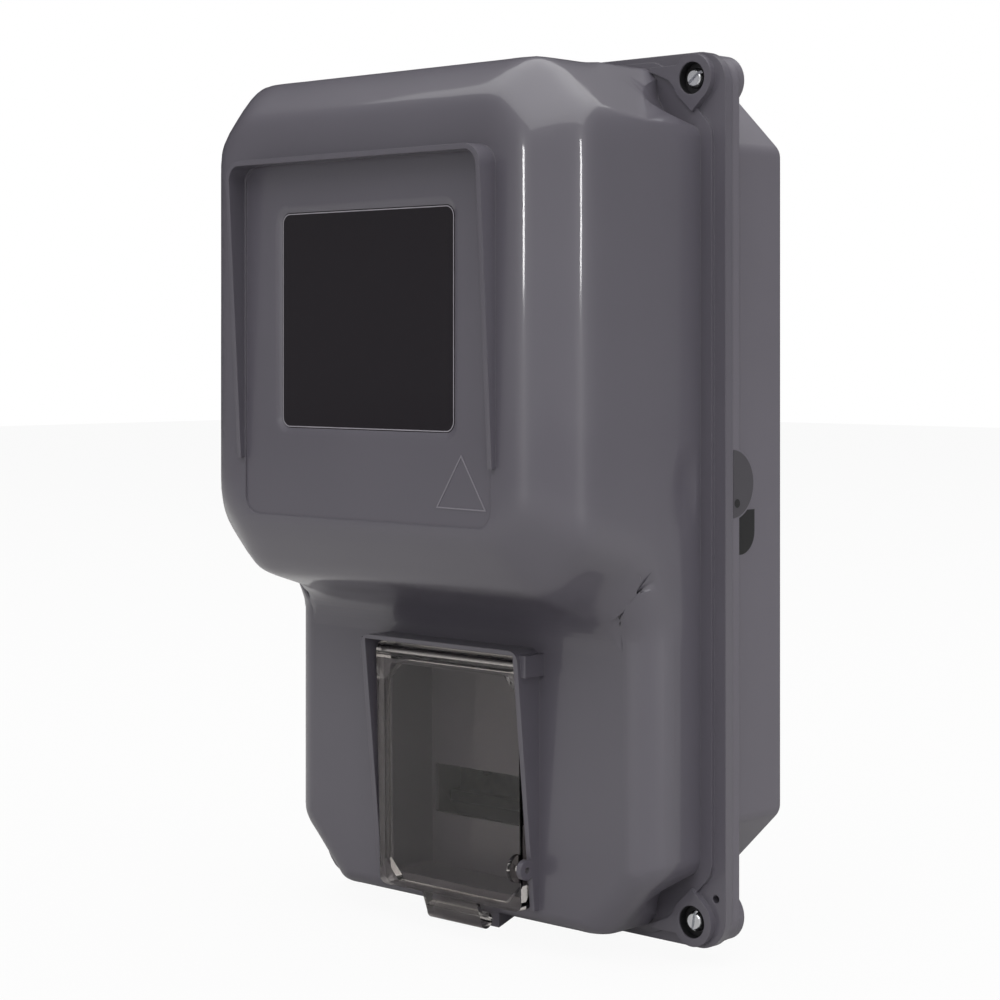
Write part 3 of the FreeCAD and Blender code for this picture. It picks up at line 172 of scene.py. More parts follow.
def metal(name, look):
    # plated or drawn metal: full metal with fine streaks that break up the reflection
    material, tree, shader, place = newMaterial(name)
    stretch = addNode(tree, "ShaderNodeMapping", values={"Scale": look["stretch"]}, links={"Vector": place})
    streaks = addNode(tree, "ShaderNodeTexNoise", links={"Vector": stretch.outputs[0]},
                      values={"Scale": scaleFor(look["grainSize"]), "Detail": 3.0})
    tone = addNode(tree, "ShaderNodeMix", props={"data_type": "RGBA"},
                   values={6: linearColour(look["dark"]), 7: linearColour(look["light"])},
                   links={"Factor": streaks.outputs["Fac"]})
    tree.links.new(tone.outputs[2], shader.inputs["Base Color"])
    gloss = addNode(tree, "ShaderNodeMapRange", links={"Value": streaks.outputs["Fac"]},
                    values={"To Min": look["gloss"][0], "To Max": look["gloss"][1]})
    tree.links.new(gloss.outputs["Result"], shader.inputs["Roughness"])
    shader.inputs["Metallic"].default_value = 1.0
    return material


zincLook = {"dark": "#C4C6CA", "light": "#F0F1F3", "gloss": (0.16, 0.30), "grainSize": 1.2,
            "stretch": (1, 1, 6)}
brassLook = {"dark": "#A8853F", "light": "#C9A85C", "gloss": (0.28, 0.42), "grainSize": 0.8,
             "stretch": (0.2, 3, 3)}
galvanisedLook = {"dark": "#83878B", "light": "#B9BDC1", "gloss": (0.38, 0.55), "grainSize": 7,
                  "stretch": (1, 1, 1)}


def rubber(name, look):
    # soft black rubber: matt, slightly dusty, with a fine skin
    material, tree, shader, place = newMaterial(name)
    dust = addNode(tree, "ShaderNodeTexNoise", links={"Vector": place},
                   values={"Scale": scaleFor(look["dustSize"]), "Detail": 4.0})
    tone = addNode(tree, "ShaderNodeMix", props={"data_type": "RGBA"},
                   values={6: linearColour(look["dark"]), 7: linearColour(look["light"])},
                   links={"Factor": dust.outputs["Fac"]})
    tree.links.new(tone.outputs[2], shader.inputs["Base Color"])
    bump = addNode(tree, "ShaderNodeBump", links={"Height": dust.outputs["Fac"]},
                   values={"Strength": look["skinDepth"], "Distance": 0.0001})
    tree.links.new(bump.outputs["Normal"], shader.inputs["Normal"])
    shader.inputs["Roughness"].default_value = look["gloss"]
    return material


rubberLook = {"dark": "#141415", "light": "#222224", "dustSize": 3, "skinDepth": 0.2, "gloss": 0.72}

finishes = {
    "cover_plastic": mouldedPlastic("coverMouldedAbs", coverLook),
    "base_plastic": mouldedPlastic("baseMouldedAbs", baseLook),
    "frame_plastic": mouldedPlastic("windowFrameAbs", frameLook),
    "holder_plastic": mouldedPlastic("barHolderPolyamide", holderLook),
    "clear_plastic": clearPlastic("lidClearPolycarbonate", lidLook),
    "tinted_pane": clearPlastic("paneTintedPolycarbonate", paneLook),
    "screw_steel": metal("zincPlatedSteel", zincLook),
    "bar_brass": metal("drawnBrass", brassLook),
    "galvanised_steel": metal("galvanisedSheet", galvanisedLook),
    "seal_rubber": rubber("sealFoamRubber", rubberLook),
    "grommet_rubber": rubber("grommetRubber", rubberLook),
}
print("meter box:", len(finishes), "finishes made")


def linkPiece(name, mesh):
    piece = bpy.data.objects.new(name, mesh)
    bpy.context.scene.collection.objects.link(piece)
    return piece


def finishPiece(piece, body, slotName, nodeName):
    # a piece that is shown in place of a node of the solids
    piece.data.materials.clear()
    piece.data.materials.append(finishes[slotName])
    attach(piece, body)
    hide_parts(nodeName)


def addDetail(name, shape, material):
    # a detail of the photo that the solids leave out, fixed to the box
    bmesh.ops.recalc_face_normals(shape, faces=shape.faces)
    mesh = bpy.data.meshes.new(name)
    shape.to_mesh(mesh)
    shape.free()
    mesh.materials.append(material)
    piece = linkPiece(name, mesh)
    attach(piece, "box")


def shadeByAngle(shape, degrees):
    # smooth over the fillets and sharp at the corners
    for face in shape.faces:
        face.smooth = True
    limit = math.radians(degrees)
    for edge in shape.edges:
        edge.smooth = len(edge.link_faces) == 2 and edge.calc_face_angle(0) < limit


def evaluatedMesh(piece):
    return bpy.data.meshes.new_from_object(piece.evaluated_get(bpy.context.evaluated_depsgraph_get()))


# how the meshes of the solids are joined and shaded: millimetres, degrees, and how straight a flat face looks
dressing = {"merge": 0.002, "sharpAngle": 32, "flat": 0.99999}


def areaNormals(piece):
    # large faces count for more, so that only the small rounds between them shade softly
    modifier = piece.modifiers.new("areaNormals", "WEIGHTED_NORMAL")
    modifier.keep_sharp = True
    modifier.weight = 100
    mesh = evaluatedMesh(piece)
    piece.modifiers.remove(modifier)
    old = piece.data
    piece.data = mesh
    bpy.data.meshes.remove(old)
    mesh.name = piece.name
    normals = [corner.vector.copy() for corner in mesh.corner_normals]
    for face in mesh.polygons:  # a face square to an axis stays flat, such as the window panel
        if max(abs(part) for part in face.normal) > dressing["flat"]:
            for corner in face.loop_indices:
                normals[corner] = face.normal.copy()
    layerNames = [name for name in ("softNormal", "softShare", "softWall") if name in mesh.attributes]
    if layerNames:
        soft, share, wall = (mesh.attributes[name].data for name in layerNames)
        for face in mesh.polygons:
            if wall[face.index].value:
                for corner in face.loop_indices:
                    point = mesh.loops[corner].vertex_index
                    part = share[point].value
                    mean = Vector(soft[point].vector)
                    normals[corner] = (normals[corner] * (1 - part) + mean * part).normalized()
    mesh.normals_split_custom_set(normals)
    for name in layerNames:
        mesh.attributes.remove(mesh.attributes[name])


def smoothCopy(pieceName, nodeName, body, slotName, change=None):
    # a merged copy of the mesh of a solid, reshaped by change where one is given
    mesh = frame["nodes"][nodeName].data.copy()
    mesh.name = pieceName
    shape = bmesh.new()
    shape.from_mesh(mesh)
    bmesh.ops.remove_doubles(shape, verts=shape.verts, dist=dressing["merge"] / 1000)
    shape.normal_update()
    if change:
        change(shape)
        shape.normal_update()
    shadeByAngle(shape, dressing["sharpAngle"])
    shape.to_mesh(mesh)
    shape.free()
    if "custom_normal" in mesh.attributes:
        mesh.attributes.remove(mesh.attributes["custom_normal"])
    piece = linkPiece(pieceName, mesh)
    areaNormals(piece)
    finishPiece(piece, body, slotName, nodeName)
    return piece


# the flat walls of the cover's bulge in millimetres; diagonal is that of a square of side 1
bulge = {"side": 113.0, "top": 187.5, "front": 150.0, "lower": 90.0, "flange": 50.0, "bevel": 17.5,
         "cutBack": 30.0, "cutFront": 24.0, "lowCut": 24.0, "bottom": -33.0, "drop": 19.0, "neck": 20.0,
         "diagonal": 1.414}


def bodyDistance(x, y, z):
    # distance out of the bulge and the lower part, without their common side walls, in millimetres
    side, ahead, lean = abs(x), -y, bulge["drop"] / (bulge["front"] - bulge["lower"])
    floor = bulge["bottom"] - lean * (bulge["front"] - ahead)
    narrow = (bulge["cutBack"] - bulge["cutFront"]) / (bulge["front"] - bulge["flange"])
    cut = bulge["cutBack"] - narrow * (ahead - bulge["flange"])
    front = ahead - bulge["front"]
    walls = [z - bulge["top"], side - bulge["side"],
             (side + z - bulge["side"] - bulge["top"] + cut) / bulge["diagonal"],
             (floor - z) / math.sqrt(1 + lean * lean),
             (side - z - bulge["side"] + bulge["lowCut"] + floor) / math.sqrt(2 + lean * lean)]
    bevels = [(wall + front + bulge["bevel"]) / bulge["diagonal"] for wall in walls]
    shape = max([front] + walls + bevels)
    low = ahead - bulge["lower"]
    corner = math.hypot(max(bulge["neck"] - shape, 0.0), max(bulge["neck"] - low, 0.0))
    return max(min(shape, low), bulge["neck"]) - corner


def wallDistance(x, y, z):
    # distance out of the cover's flat walls
    return max(abs(x) - bulge["side"], bodyDistance(x, y, z))


# which part of the cover is softened, and how much, in millimetres: cell is the size of the small faces,
# cuts are axis, first and last cut, width and normalWidth are how wide the mean place and the mean normal
# are read, out to widthsRead times that, fade and lowFade lead over to what keeps its shape, panel is side,
# low and high of the window panel, and screw is side, end and reach of a screw's well
softening = {"cell": 5.0, "cuts": ((0, -110, 110), (1, -145, -60), (2, -60, 185)), "width": 5.0,
             "normalWidth": 3.5, "widthsRead": 2.6, "fade": 7.0, "low": -62.0, "lowFade": 14.0, "back": 60.0,
             "panel": (84.0, -12.0, 152.5), "panelBack": 140.0, "slack": 0.1, "lowSlack": 0.5,
             "screw": (109.3, 176.3, 15.0), "screwAhead": 105.0, "inside": -9.0, "outside": 4.0,
             "tinyArea": 1.0, "tinyDepth": -1.5}

# the small step under the bulge where the rounded side walls of the lower part end, in millimetres;
# facing and tilt are parts of a face's normal, and step is the largest area of its upright faces
ledge = {"side": 94.0, "ahead": (86.0, 97.0), "height": (-52.0, -26.0), "facing": 0.9, "depth": -5.0,
         "step": 12.0, "stepDepth": -11.0, "stepAhead": 92.5, "tilt": 0.3}


def isLedge(face):
    # whether a face is part of the flat of the step
    x, y, z = face.calc_center_median() * 1000
    (near, far), (low, high) = ledge["ahead"], ledge["height"]
    return (abs(x) > ledge["side"] and near < -y < far and low < z < high and face.normal.y > ledge["facing"]
            and wallDistance(x, y, z) > ledge["depth"])


def isStep(face):
    # whether a small face beside that flat stands upright
    centre = face.calc_center_median()
    return (face.calc_area() < ledge["step"] * 1e-6 and wallDistance(*(centre * 1000)) > ledge["stepDepth"]
            and abs(face.normal.z) < ledge["tilt"] and centre.y > -ledge["stepAhead"] / 1000)


def closeLedge(shape, skin):
    # draws the step together and gives back the faces of the skin that are left
    for face in skin:
        face[shape.faces.layers.int["softWall"]] = 1
    skinFaces = set(skin)
    flat = [face for face in skin if isLedge(face)]
    corners = dict.fromkeys(v for face in flat for v in face.verts)
    beside = dict.fromkeys(face for v in corners for face in v.link_faces)
    steps = [face for face in beside if face not in skinFaces and isStep(face)]
    edges = dict.fromkeys(edge for face in flat + steps for edge in face.edges)
    bmesh.ops.collapse(shape, edges=list(edges))
    print("meter box: ledge closed,", len(flat), "flat and", len(steps), "step faces")
    return [face for face in shape.faces if face[shape.faces.layers.int["softWall"]]]


# how the side rounds run out upwards over the closed step, in millimetres
runOut = {"middle": (105.0, -91.0, -37.0), "reach": 22.0, "fade": 8.0, "rounds": (16.0, 7.0),
          "between": (-62.0, -22.0), "tries": 6, "probe": 0.5, "leastSlope": 0.2, "farthest": 9.0, "turns": 3,
          "merge": 0.4}


def easedDistance(x, y, z):
    # distance out of the walls, with the side round between them
    low, high = runOut["between"]
    wide, narrow = runOut["rounds"]
    radius = wide + (narrow - wide) * clamp((z - low) / (high - low))
    side, body = abs(x) - bulge["side"], bodyDistance(x, y, z)
    return min(max(side, body), -radius) + math.hypot(max(side + radius, 0.0), max(body + radius, 0.0))


def easeLedge(shape, points):
    # runs the side rounds into the underside of the bulge
    middle, probe = Vector(runOut["middle"]), runOut["probe"]
    near = []
    for vertex in points:
        spot = vertex.co * 1000
        away = (Vector((abs(spot.x), spot.y, spot.z)) - middle).length
        if away > runOut["reach"] or spot.z < softening["low"]:
            continue
        near.append(vertex)
        goal = spot.copy()
        for attempt in range(runOut["tries"]):
            x, y, z = goal
            slope = Vector([easedDistance(x + dx, y + dy, z + dz) - easedDistance(x - dx, y - dy, z - dz)
                            for dx, dy, dz in ((probe, 0, 0), (0, probe, 0), (0, 0, probe))])
            goal -= slope * (easedDistance(x, y, z) / max(slope.length_squared, runOut["leastSlope"]))
        inside, above = runOut["reach"] - away, spot.z - softening["low"]
        share = min(inside / runOut["fade"], above / runOut["fade"], 1.0)
        if (goal - spot).length < runOut["farthest"]:
            vertex.co = (spot + (goal - spot) * share) / 1000
    for turn in range(runOut["turns"]):
        bmesh.ops.smooth_vert(shape, verts=near, factor=0.5,
                              use_axis_x=True, use_axis_y=True, use_axis_z=True)
    bmesh.ops.remove_doubles(shape, verts=near, dist=runOut["merge"] / 1000)
    kept = dict.fromkeys(v for v in near if v.is_valid)
    wall = shape.faces.layers.int["softWall"]
    for face in dict.fromkeys(face for v in kept for face in v.link_faces):
        if all(v in kept for v in face.verts):
            face[wall] = 1


# the inner line of the bulge, from which its outside is told by how much a face looks away from it
innerLine = {"width": 0.6, "ahead": 70.0, "low": 20.0, "high": 140.0, "facing": 0.15}


def isWall(face):
    # whether a face belongs to the outside of the bulge, off the window panel, the screws and the hood
    x, y, z = face.calc_center_median() * 1000
    lowest = max(v.co.z for v in face.verts) * 1000
    if -y < softening["back"] or lowest < softening["low"] + softening["lowSlack"]:
        return False
    side, low, high = softening["panel"]
    onFront = abs(-y - bulge["front"]) < softening["slack"]
    onPanel = abs(x) < side and low < z < high and -y > softening["panelBack"] and not onFront
    if -y > bulge["front"] + softening["slack"] or onPanel:
        return False
    screwX, screwZ, reach = softening["screw"]
    if -y < softening["screwAhead"] and math.hypot(abs(x) - screwX, abs(z) - screwZ) < reach:
        return False
    depth = wallDistance(x, y, z)
    tiny = face.calc_area() < softening["tinyArea"] * 1e-6 and depth > softening["tinyDepth"]
    if tiny or isLedge(face):
        return True
    if not softening["inside"] < depth < softening["outside"]:
        return False
    inner = Vector((innerLine["width"] * x, -innerLine["ahead"],
                    clamp(z, innerLine["low"], innerLine["high"])))
    return (Vector((x, y, z)) - inner).normalized().dot(face.normal) > innerLine["facing"]


def skinMeans(faces, points, width):
    # mean place and mean normal of the skin near each point, weighted by area and nearness, in metres
    centres = [face.calc_center_median() for face in faces]
    areas = [face.calc_area() for face in faces]
    normals = [face.normal.copy() for face in faces]
    tree = KDTree(len(faces))
    for index, centre in enumerate(centres):
        tree.insert(centre, index)
    tree.balance()
    means = []
    for point in points:
        place, normal, total = Vector(), Vector(), 0.0
        for spot, index, distance in tree.find_range(point, softening["widthsRead"] * width / 1000):
            weight = areas[index] * math.exp(-0.5 * (distance * 1000 / width) ** 2)
            place += spot * weight
            normal += normals[index] * weight
            total += weight
        means.append((place / total if total else point, normal.normalized()))
    return means


# shallow finger scoop in the right side wall, beside the seal tab, in millimetres
scoop = {"side": 108.0, "middle": (54.0, 7.0), "radius": 20.0, "edge": 7.0, "depth": 2.0}


def pressScoop(vertex):
    x, y, z = vertex.co * 1000
    away = math.hypot(-y - scoop["middle"][0], z - scoop["middle"][1])
    if x > scoop["side"] and away < scoop["radius"]:
        vertex.co.x -= scoop["depth"] / 1000 * eased(min((scoop["radius"] - away) / scoop["edge"], 1.0))


def cutCells(shape, skin):
    # cuts the skin into small cells, so that it can bend, and gives back its faces
    for axis, low, high in softening["cuts"]:
        normal = Vector([1.0 if i == axis else 0.0 for i in range(3)])
        place = low
        while place <= high:
            parts = dict.fromkeys(part for face in skin for part in (face, *face.edges, *face.verts))
            cut = bmesh.ops.bisect_plane(shape, geom=list(parts), dist=1e-6, plane_co=normal * (place / 1000),
                                         plane_no=normal)
            skin = [part for part in cut["geom"] if isinstance(part, bmesh.types.BMFace)]
            place += softening["cell"]
    return skin


def softShares(skin, points):
    # how far each point may move: not at all beside what keeps its shape, fully inside the skin
    skinFaces = set(skin)
    held = [v.co.copy() for v in points if any(face not in skinFaces for face in v.link_faces)]
    tree = KDTree(len(held))
    for index, place in enumerate(held):
        tree.insert(place, index)
    tree.balance()
    shares = []
    for vertex in points:
        near = min(tree.find(vertex.co)[2] * 1000 / softening["fade"], 1.0)
        high = clamp((vertex.co.z * 1000 - softening["low"]) / softening["lowFade"])
        shares.append(eased(near * high))
    return shares


def softenCover(shape):
    # lets the edges of the bulge run softly into each other, as in the moulding
    softNormal = shape.verts.layers.float_vector.new("softNormal")
    softShare = shape.verts.layers.float.new("softShare")
    wall = shape.faces.layers.int.new("softWall")
    shape.normal_update()
    skin = closeLedge(shape, cutCells(shape, [face for face in shape.faces if isWall(face)]))
    points = list(dict.fromkeys(v for face in skin for v in face.verts))
    shares = softShares(skin, points)
    means = skinMeans(skin, [v.co for v in points], softening["width"])
    for vertex, share, (place, normal) in zip(points, shares, means):
        vertex.co += normal * ((place - vertex.co).dot(normal) * share)
        vertex[softShare] = share
        if vertex.co.y * 1000 < -softening["back"]:
            pressScoop(vertex)
    for face in skin:
        face[wall] = 1
    easeLedge(shape, points)
    shape.normal_update()
    skin = [face for face in shape.faces if face[wall]]
    points = list(dict.fromkeys(v for face in skin for v in face.verts))
    means = skinMeans(skin, [v.co for v in points], softening["normalWidth"])
    for vertex, (place, normal) in zip(points, means):
        vertex[softNormal] = normal
    print("meter box: cover softened,", len(points), "points")


slots = {row["node"]: row["material_slot"] for row in frame["record"]["subparts"]}
pieceNames = {
    "front_cover": "coverShell", "rear_base": "backTray", "cover_gasket": "coverGasket",
    "cover_inserts": "brassInserts", "window_pane": "windowPane", "window_seal": "windowSeal",
    "window_frame": "windowFrame", "breaker_lid": "breakerLid", "lid_hinge_rod": "hingeRod",
    "meter_plate": "meterPlate", "din_rail": "topHatRail", "neutral_bar": "neutralBar",
    "earth_bar": "earthBar", "neutral_bar_holder": "neutralHolder", "earth_bar_holder": "earthHolder",
    "cable_grommet_left": "grommetLeft", "cable_grommet_middle": "grommetMiddle",
    "cable_grommet_right": "grommetRight", "window_screws": "windowScrews", "plate_screws": "plateScrews",
    "rail_screws": "railScrews", "holder_screws": "holderScrews", "neutral_bar_screws": "neutralBarScrews",
    "earth_bar_screws": "earthBarScrews",
}
pieces = {}
for nodeName, pieceName in pieceNames.items():
    bodyName = "lid" if nodeName == "breaker_lid" else "box"
    reshape = softenCover if nodeName == "front_cover" else None
    pieces[nodeName] = smoothCopy(pieceName, nodeName, bodyName, slots[nodeName], change=reshape)
print("meter box:", len(pieces), "pieces dressed")


# slotted pan heads, in millimetres; each turn is the slot's own, in degrees from level
screws = {"side": 109.3, "end": 181.3, "seat": 54.0, "headRadius": 4.7, "headHeight": 3.4, "slotWidth": 1.3,
          "slotDepth": 1.7, "shankRadius": 2.4, "shankLength": 14.0, "sharpAngle": 35,
          "turns": {(1, 1): 38.0, (1, -1): 82.0, (-1, 1): -20.0, (-1, -1): 55.0}}


def screwTree():
    tree = bpy.data.node_groups.new("pannedScrews", "GeometryNodeTree")
    tree.interface.new_socket("places", in_out="INPUT", socket_type="NodeSocketGeometry")
    for name in ("headRadius", "headHeight", "slotWidth", "slotDepth", "shankRadius", "shankLength"):
        socket = tree.interface.new_socket(name, in_out="INPUT", socket_type="NodeSocketFloat")
        socket.default_value = screws[name] / 1000
    tree.interface.new_socket("screws", in_out="OUTPUT", socket_type="NodeSocketGeometry")
    given = addNode(tree, "NodeGroupInput").outputs
    times, plus = {"operation": "MULTIPLY"}, {"operation": "ADD"}

    # the head is a ball with its lower half, its cap and the slot cut away by blocks wider than it is
    ball = addNode(tree, "GeometryNodeMeshUVSphere", values={"Segments": 48, "Rings": 24},
                   links={"Radius": given["headRadius"]})
    triple = addNode(tree, "ShaderNodeMath", props=times, values={1: 3.0}, links={0: given["headRadius"]})
    wide = triple.outputs[0]
    half = addNode(tree, "ShaderNodeMath", props=times, values={1: 0.5}, links={0: wide})
    down = addNode(tree, "ShaderNodeMath", props=times, values={1: -0.5}, links={0: wide})
    up = addNode(tree, "ShaderNodeMath", props=plus, links={0: half.outputs[0], 1: given["headHeight"]})
    deep = addNode(tree, "ShaderNodeMath", props=times, values={1: 2.0}, links={0: given["slotDepth"]})
    blockSize = addNode(tree, "ShaderNodeCombineXYZ", links={0: wide, 1: wide, 2: wide})
    slotSize = addNode(tree, "ShaderNodeCombineXYZ",
                       links={0: wide, 1: given["slotWidth"], 2: deep.outputs[0]})
    block = addNode(tree, "GeometryNodeMeshCube", links={"Size": blockSize.outputs[0]})
    slot = addNode(tree, "GeometryNodeMeshCube", links={"Size": slotSize.outputs[0]})
    head = addNode(tree, "GeometryNodeMeshBoolean", props={"operation": "DIFFERENCE"},
                   links={"Mesh 1": ball.outputs["Mesh"]})
    for cutter, height in ((block, down.outputs[0]), (block, up.outputs[0]), (slot, given["headHeight"])):
        spot = addNode(tree, "ShaderNodeCombineXYZ", links={2: height})
        moved = addNode(tree, "GeometryNodeTransform",
                        links={"Geometry": cutter.outputs["Mesh"], "Translation": spot.outputs[0]})
        tree.links.new(moved.outputs[0], head.inputs["Mesh 2"])

    shank = addNode(tree, "GeometryNodeMeshCylinder", values={"Vertices": 24},
                    links={"Radius": given["shankRadius"], "Depth": given["shankLength"]})
    sunk = addNode(tree, "ShaderNodeMath", props=times, values={1: -0.5}, links={0: given["shankLength"]})
    spot = addNode(tree, "ShaderNodeCombineXYZ", links={2: sunk.outputs[0]})
    moved = addNode(tree, "GeometryNodeTransform",
                    links={"Geometry": shank.outputs["Mesh"], "Translation": spot.outputs[0]})
    screw = addNode(tree, "GeometryNodeJoinGeometry", links={"Geometry": head.outputs["Mesh"]})
    tree.links.new(moved.outputs[0], screw.inputs["Geometry"])

    # each screw lies along the depth of the box, with its slot at its own turn
    turn = addNode(tree, "GeometryNodeInputNamedAttribute", props={"data_type": "FLOAT"},
                   values={"Name": "turn"})
    spin = addNode(tree, "FunctionNodeAxisAngleToRotation", values={"Axis": (0.0, 0.0, 1.0)},
                   links={"Angle": turn.outputs["Attribute"]})
    upright = addNode(tree, "FunctionNodeEulerToRotation", values={"Euler": (math.radians(90), 0.0, 0.0)})
    both = addNode(tree, "FunctionNodeRotateRotation", props={"rotation_space": "LOCAL"},
                   links={"Rotation": upright.outputs[0], "Rotate By": spin.outputs[0]})
    spread = addNode(tree, "GeometryNodeInstanceOnPoints", links={
        "Points": given["places"], "Instance": screw.outputs[0], "Rotation": both.outputs[0]})
    real = addNode(tree, "GeometryNodeRealizeInstances", links={"Geometry": spread.outputs[0]})
    dressed = addNode(tree, "GeometryNodeSetMaterial", values={"Material": finishes["screw_steel"]},
                      links={"Geometry": real.outputs[0]})
    addNode(tree, "NodeGroupOutput", links={"screws": dressed.outputs[0]})
    return tree


def makeScrews():
    mesh = bpy.data.meshes.new("coverScrews")
    places = [metres(x * screws["side"], -screws["seat"], z * screws["end"]) for x, z in screws["turns"]]
    mesh.from_pydata(places, [], [])
    turns = mesh.attributes.new("turn", "FLOAT", "POINT")
    for index, degrees in enumerate(screws["turns"].values()):
        turns.data[index].value = math.radians(degrees)
    piece = linkPiece("coverScrews", mesh)
    modifier = piece.modifiers.new("pannedScrews", "NODES")
    modifier.node_group = screwTree()
    made = evaluatedMesh(piece)
    piece.modifiers.remove(modifier)
    piece.data = made
    bpy.data.meshes.remove(mesh)
    made.name = "coverScrews"
    if "turn" in made.attributes:
        made.attributes.remove(made.attributes["turn"])
    shape = bmesh.new()
    shape.from_mesh(made)
    shadeByAngle(shape, screws["sharpAngle"])
    shape.to_mesh(made)
    shape.free()
    finishPiece(piece, "box", "screw_steel", "cover_screws")
    print("meter box: screws made,", len(made.vertices), "points")


makeScrews()

# plain raised outline on the panel below the window, in a lighter colour that is a painted highlight on its
# edges, in millimetres
outline = {"corners": [(59.6, 20.75), (44.9, -1.95), (74.0, -2.25)], "line": 0.55, "depths": (149.1, 149.45)}


def makeOutline():
    corners = [Vector(corner) for corner in outline["corners"]]
    shape = bmesh.new()
    rings = []
    for depth in outline["depths"]:
        for inset in (0.0, outline["line"]):
            ring = []
            for index, corner in enumerate(corners):
                before = (corners[index - 1] - corner).normalized()
                after = (corners[(index + 1) % 3] - corner).normalized()
                half = before.angle(after) / 2
                spot = corner + (before + after).normalized() * (inset / math.sin(half))
                ring.append(shape.verts.new(metres(spot.x, -depth, spot.y)))
            rings.append(ring)
    backOut, backIn, frontOut, frontIn = rings
    for first, second in ((frontOut, frontIn), (backIn, backOut), (backOut, frontOut), (frontIn, backIn)):
        for i in range(3):
            j = (i + 1) % 3
            shape.faces.new((first[i], first[j], second[j], second[i]))
    addDetail("panelOutline", shape, mouldedPlastic("outlinePaintedHighlightAbs", outlineHighlightLook))


makeOutline()
print("meter box: panel outline made")

# painted shade on the seal tab: a darker plate over the tab's face, a near-black disc for the shade in its
# hole, and a near-black plate for the shade in the finger pocket under it, in millimetres; depths are counted
# from the wall, a face is the plate's back and front, the hole is depth, height and radius
tab = {"middle": (50.0, 7.0), "radius": 14.7, "front": 49.2, "face": (124.5, 124.62), "arc": 100, "steps": 40,
       "hole": (46.5, -1.4, 1.9), "holeSides": 24, "holeThick": 0.06}
pocket = {"front": 44.9, "back": 20.8, "top": -5.5, "low": -25.0, "round": 10.0, "steps": 12,
          "face": (113.9, 114.15)}


def addPlate(spots, face, name, material):
    # a thin upright plate that looks to the right, from an outline of depth and height
    shape = bmesh.new()
    loops = [[shape.verts.new(metres(x, -depth, height)) for depth, height in spots] for x in face]
    for loop in loops:
        shape.faces.new(loop)
    for i in range(len(spots)):
        j = (i + 1) % len(spots)
        shape.faces.new((loops[0][i], loops[0][j], loops[1][j], loops[1][i]))
    addDetail(name, shape, material)


def tabSpots():
    # the part of a disc that lies behind the flange's back edge
    (middleDepth, middleHeight), radius, edge = tab["middle"], tab["radius"], tab["front"]
    spots = []
    for index in range(tab["steps"] + 1):
        angle = math.radians(-tab["arc"] + 2 * tab["arc"] * index / tab["steps"])
        depth = middleDepth - radius * math.cos(angle)
        if depth < edge:
            spots.append((depth, middleHeight + radius * math.sin(angle)))
    return [(edge, spots[0][1])] + spots + [(edge, spots[-1][1])]


def holeSpots():
    depth, height, radius = tab["hole"]
    angles = [math.tau * i / tab["holeSides"] for i in range(tab["holeSides"])]
    return [(depth + radius * math.cos(angle), height + radius * math.sin(angle)) for angle in angles]


def pocketSpots():
    # a box with one round corner, at the bottom towards the wall
    spots = [(pocket["front"], pocket["top"]), (pocket["back"], pocket["top"])]
    for index in range(pocket["steps"] + 1):
        angle = math.pi * (1 + index / (2 * pocket["steps"]))
        spots.append((pocket["back"] + pocket["round"] * (1 + math.cos(angle)),
                      pocket["low"] + pocket["round"] * (1 + math.sin(angle))))
    return spots + [(pocket["front"], pocket["low"])]


# painted shade: a darker plastic for the seal tab's face, and a near-black one for the shade in its hole, the
# finger pocket and the screw wells
paintedShadePlastic = mouldedPlastic("paintedShadeMouldedAbs", paintedShadeLook)
deepShade = mouldedPlastic("deepShadeAbs", deepLook)
addPlate(tabSpots(), tab["face"], "sealTabShadeFace", paintedShadePlastic)
addPlate(pocketSpots(), pocket["face"], "fingerPocketShade", deepShade)
addPlate(holeSpots(), (tab["face"][1], tab["face"][1] + tab["holeThick"]), "sealTabHoleShade", deepShade)
print("meter box: seal tab and pocket dressed")

# near-black lining in each screw's well that paints the shade there, in millimetres: inner and outer radius,
# wall, and depths from the wall
wellShade = {"bore": 4.85, "outer": 6.95, "wall": 0.15, "floor": 54.03, "step": 54.2, "rim": 58.2, "sides": 40}


# painted shade: a near-black lining over the floor and wall of each screw's well
def makeWellShades():
    inside = wellShade["outer"] - wellShade["wall"]
    profile = [(wellShade["bore"], wellShade["floor"]), (wellShade["outer"], wellShade["floor"]),
               (wellShade["outer"], wellShade["rim"]), (inside, wellShade["rim"]), (inside, wellShade["step"]),
               (wellShade["bore"], wellShade["step"])]
    shape = bmesh.new()
    for alongX, alongZ in screws["turns"]:
        middleX, middleZ = alongX * screws["side"], alongZ * screws["end"]
        rings = []
        for index in range(wellShade["sides"]):
            angle = math.tau * index / wellShade["sides"]
            rings.append([shape.verts.new(metres(middleX + radius * math.cos(angle), -depth,
                                                 middleZ + radius * math.sin(angle)))
                          for radius, depth in profile])
        for index, ring in enumerate(rings):
            after = rings[(index + 1) % len(rings)]
            for i in range(len(profile)):
                j = (i + 1) % len(profile)
                shape.faces.new((ring[i], after[i], after[j], ring[j]))
    addDetail("screwWellShades", shape, deepShade)


makeWellShades()
print("meter box: screw well shades made")

# a painted highlight: a lighter ring on the pane's edge that stands for the light it catches as a fine line,
# in millimetres
paneEdgeHighlight = {"width": 0.5, "proud": 0.04, "thick": 0.12, "slack": 0.02}


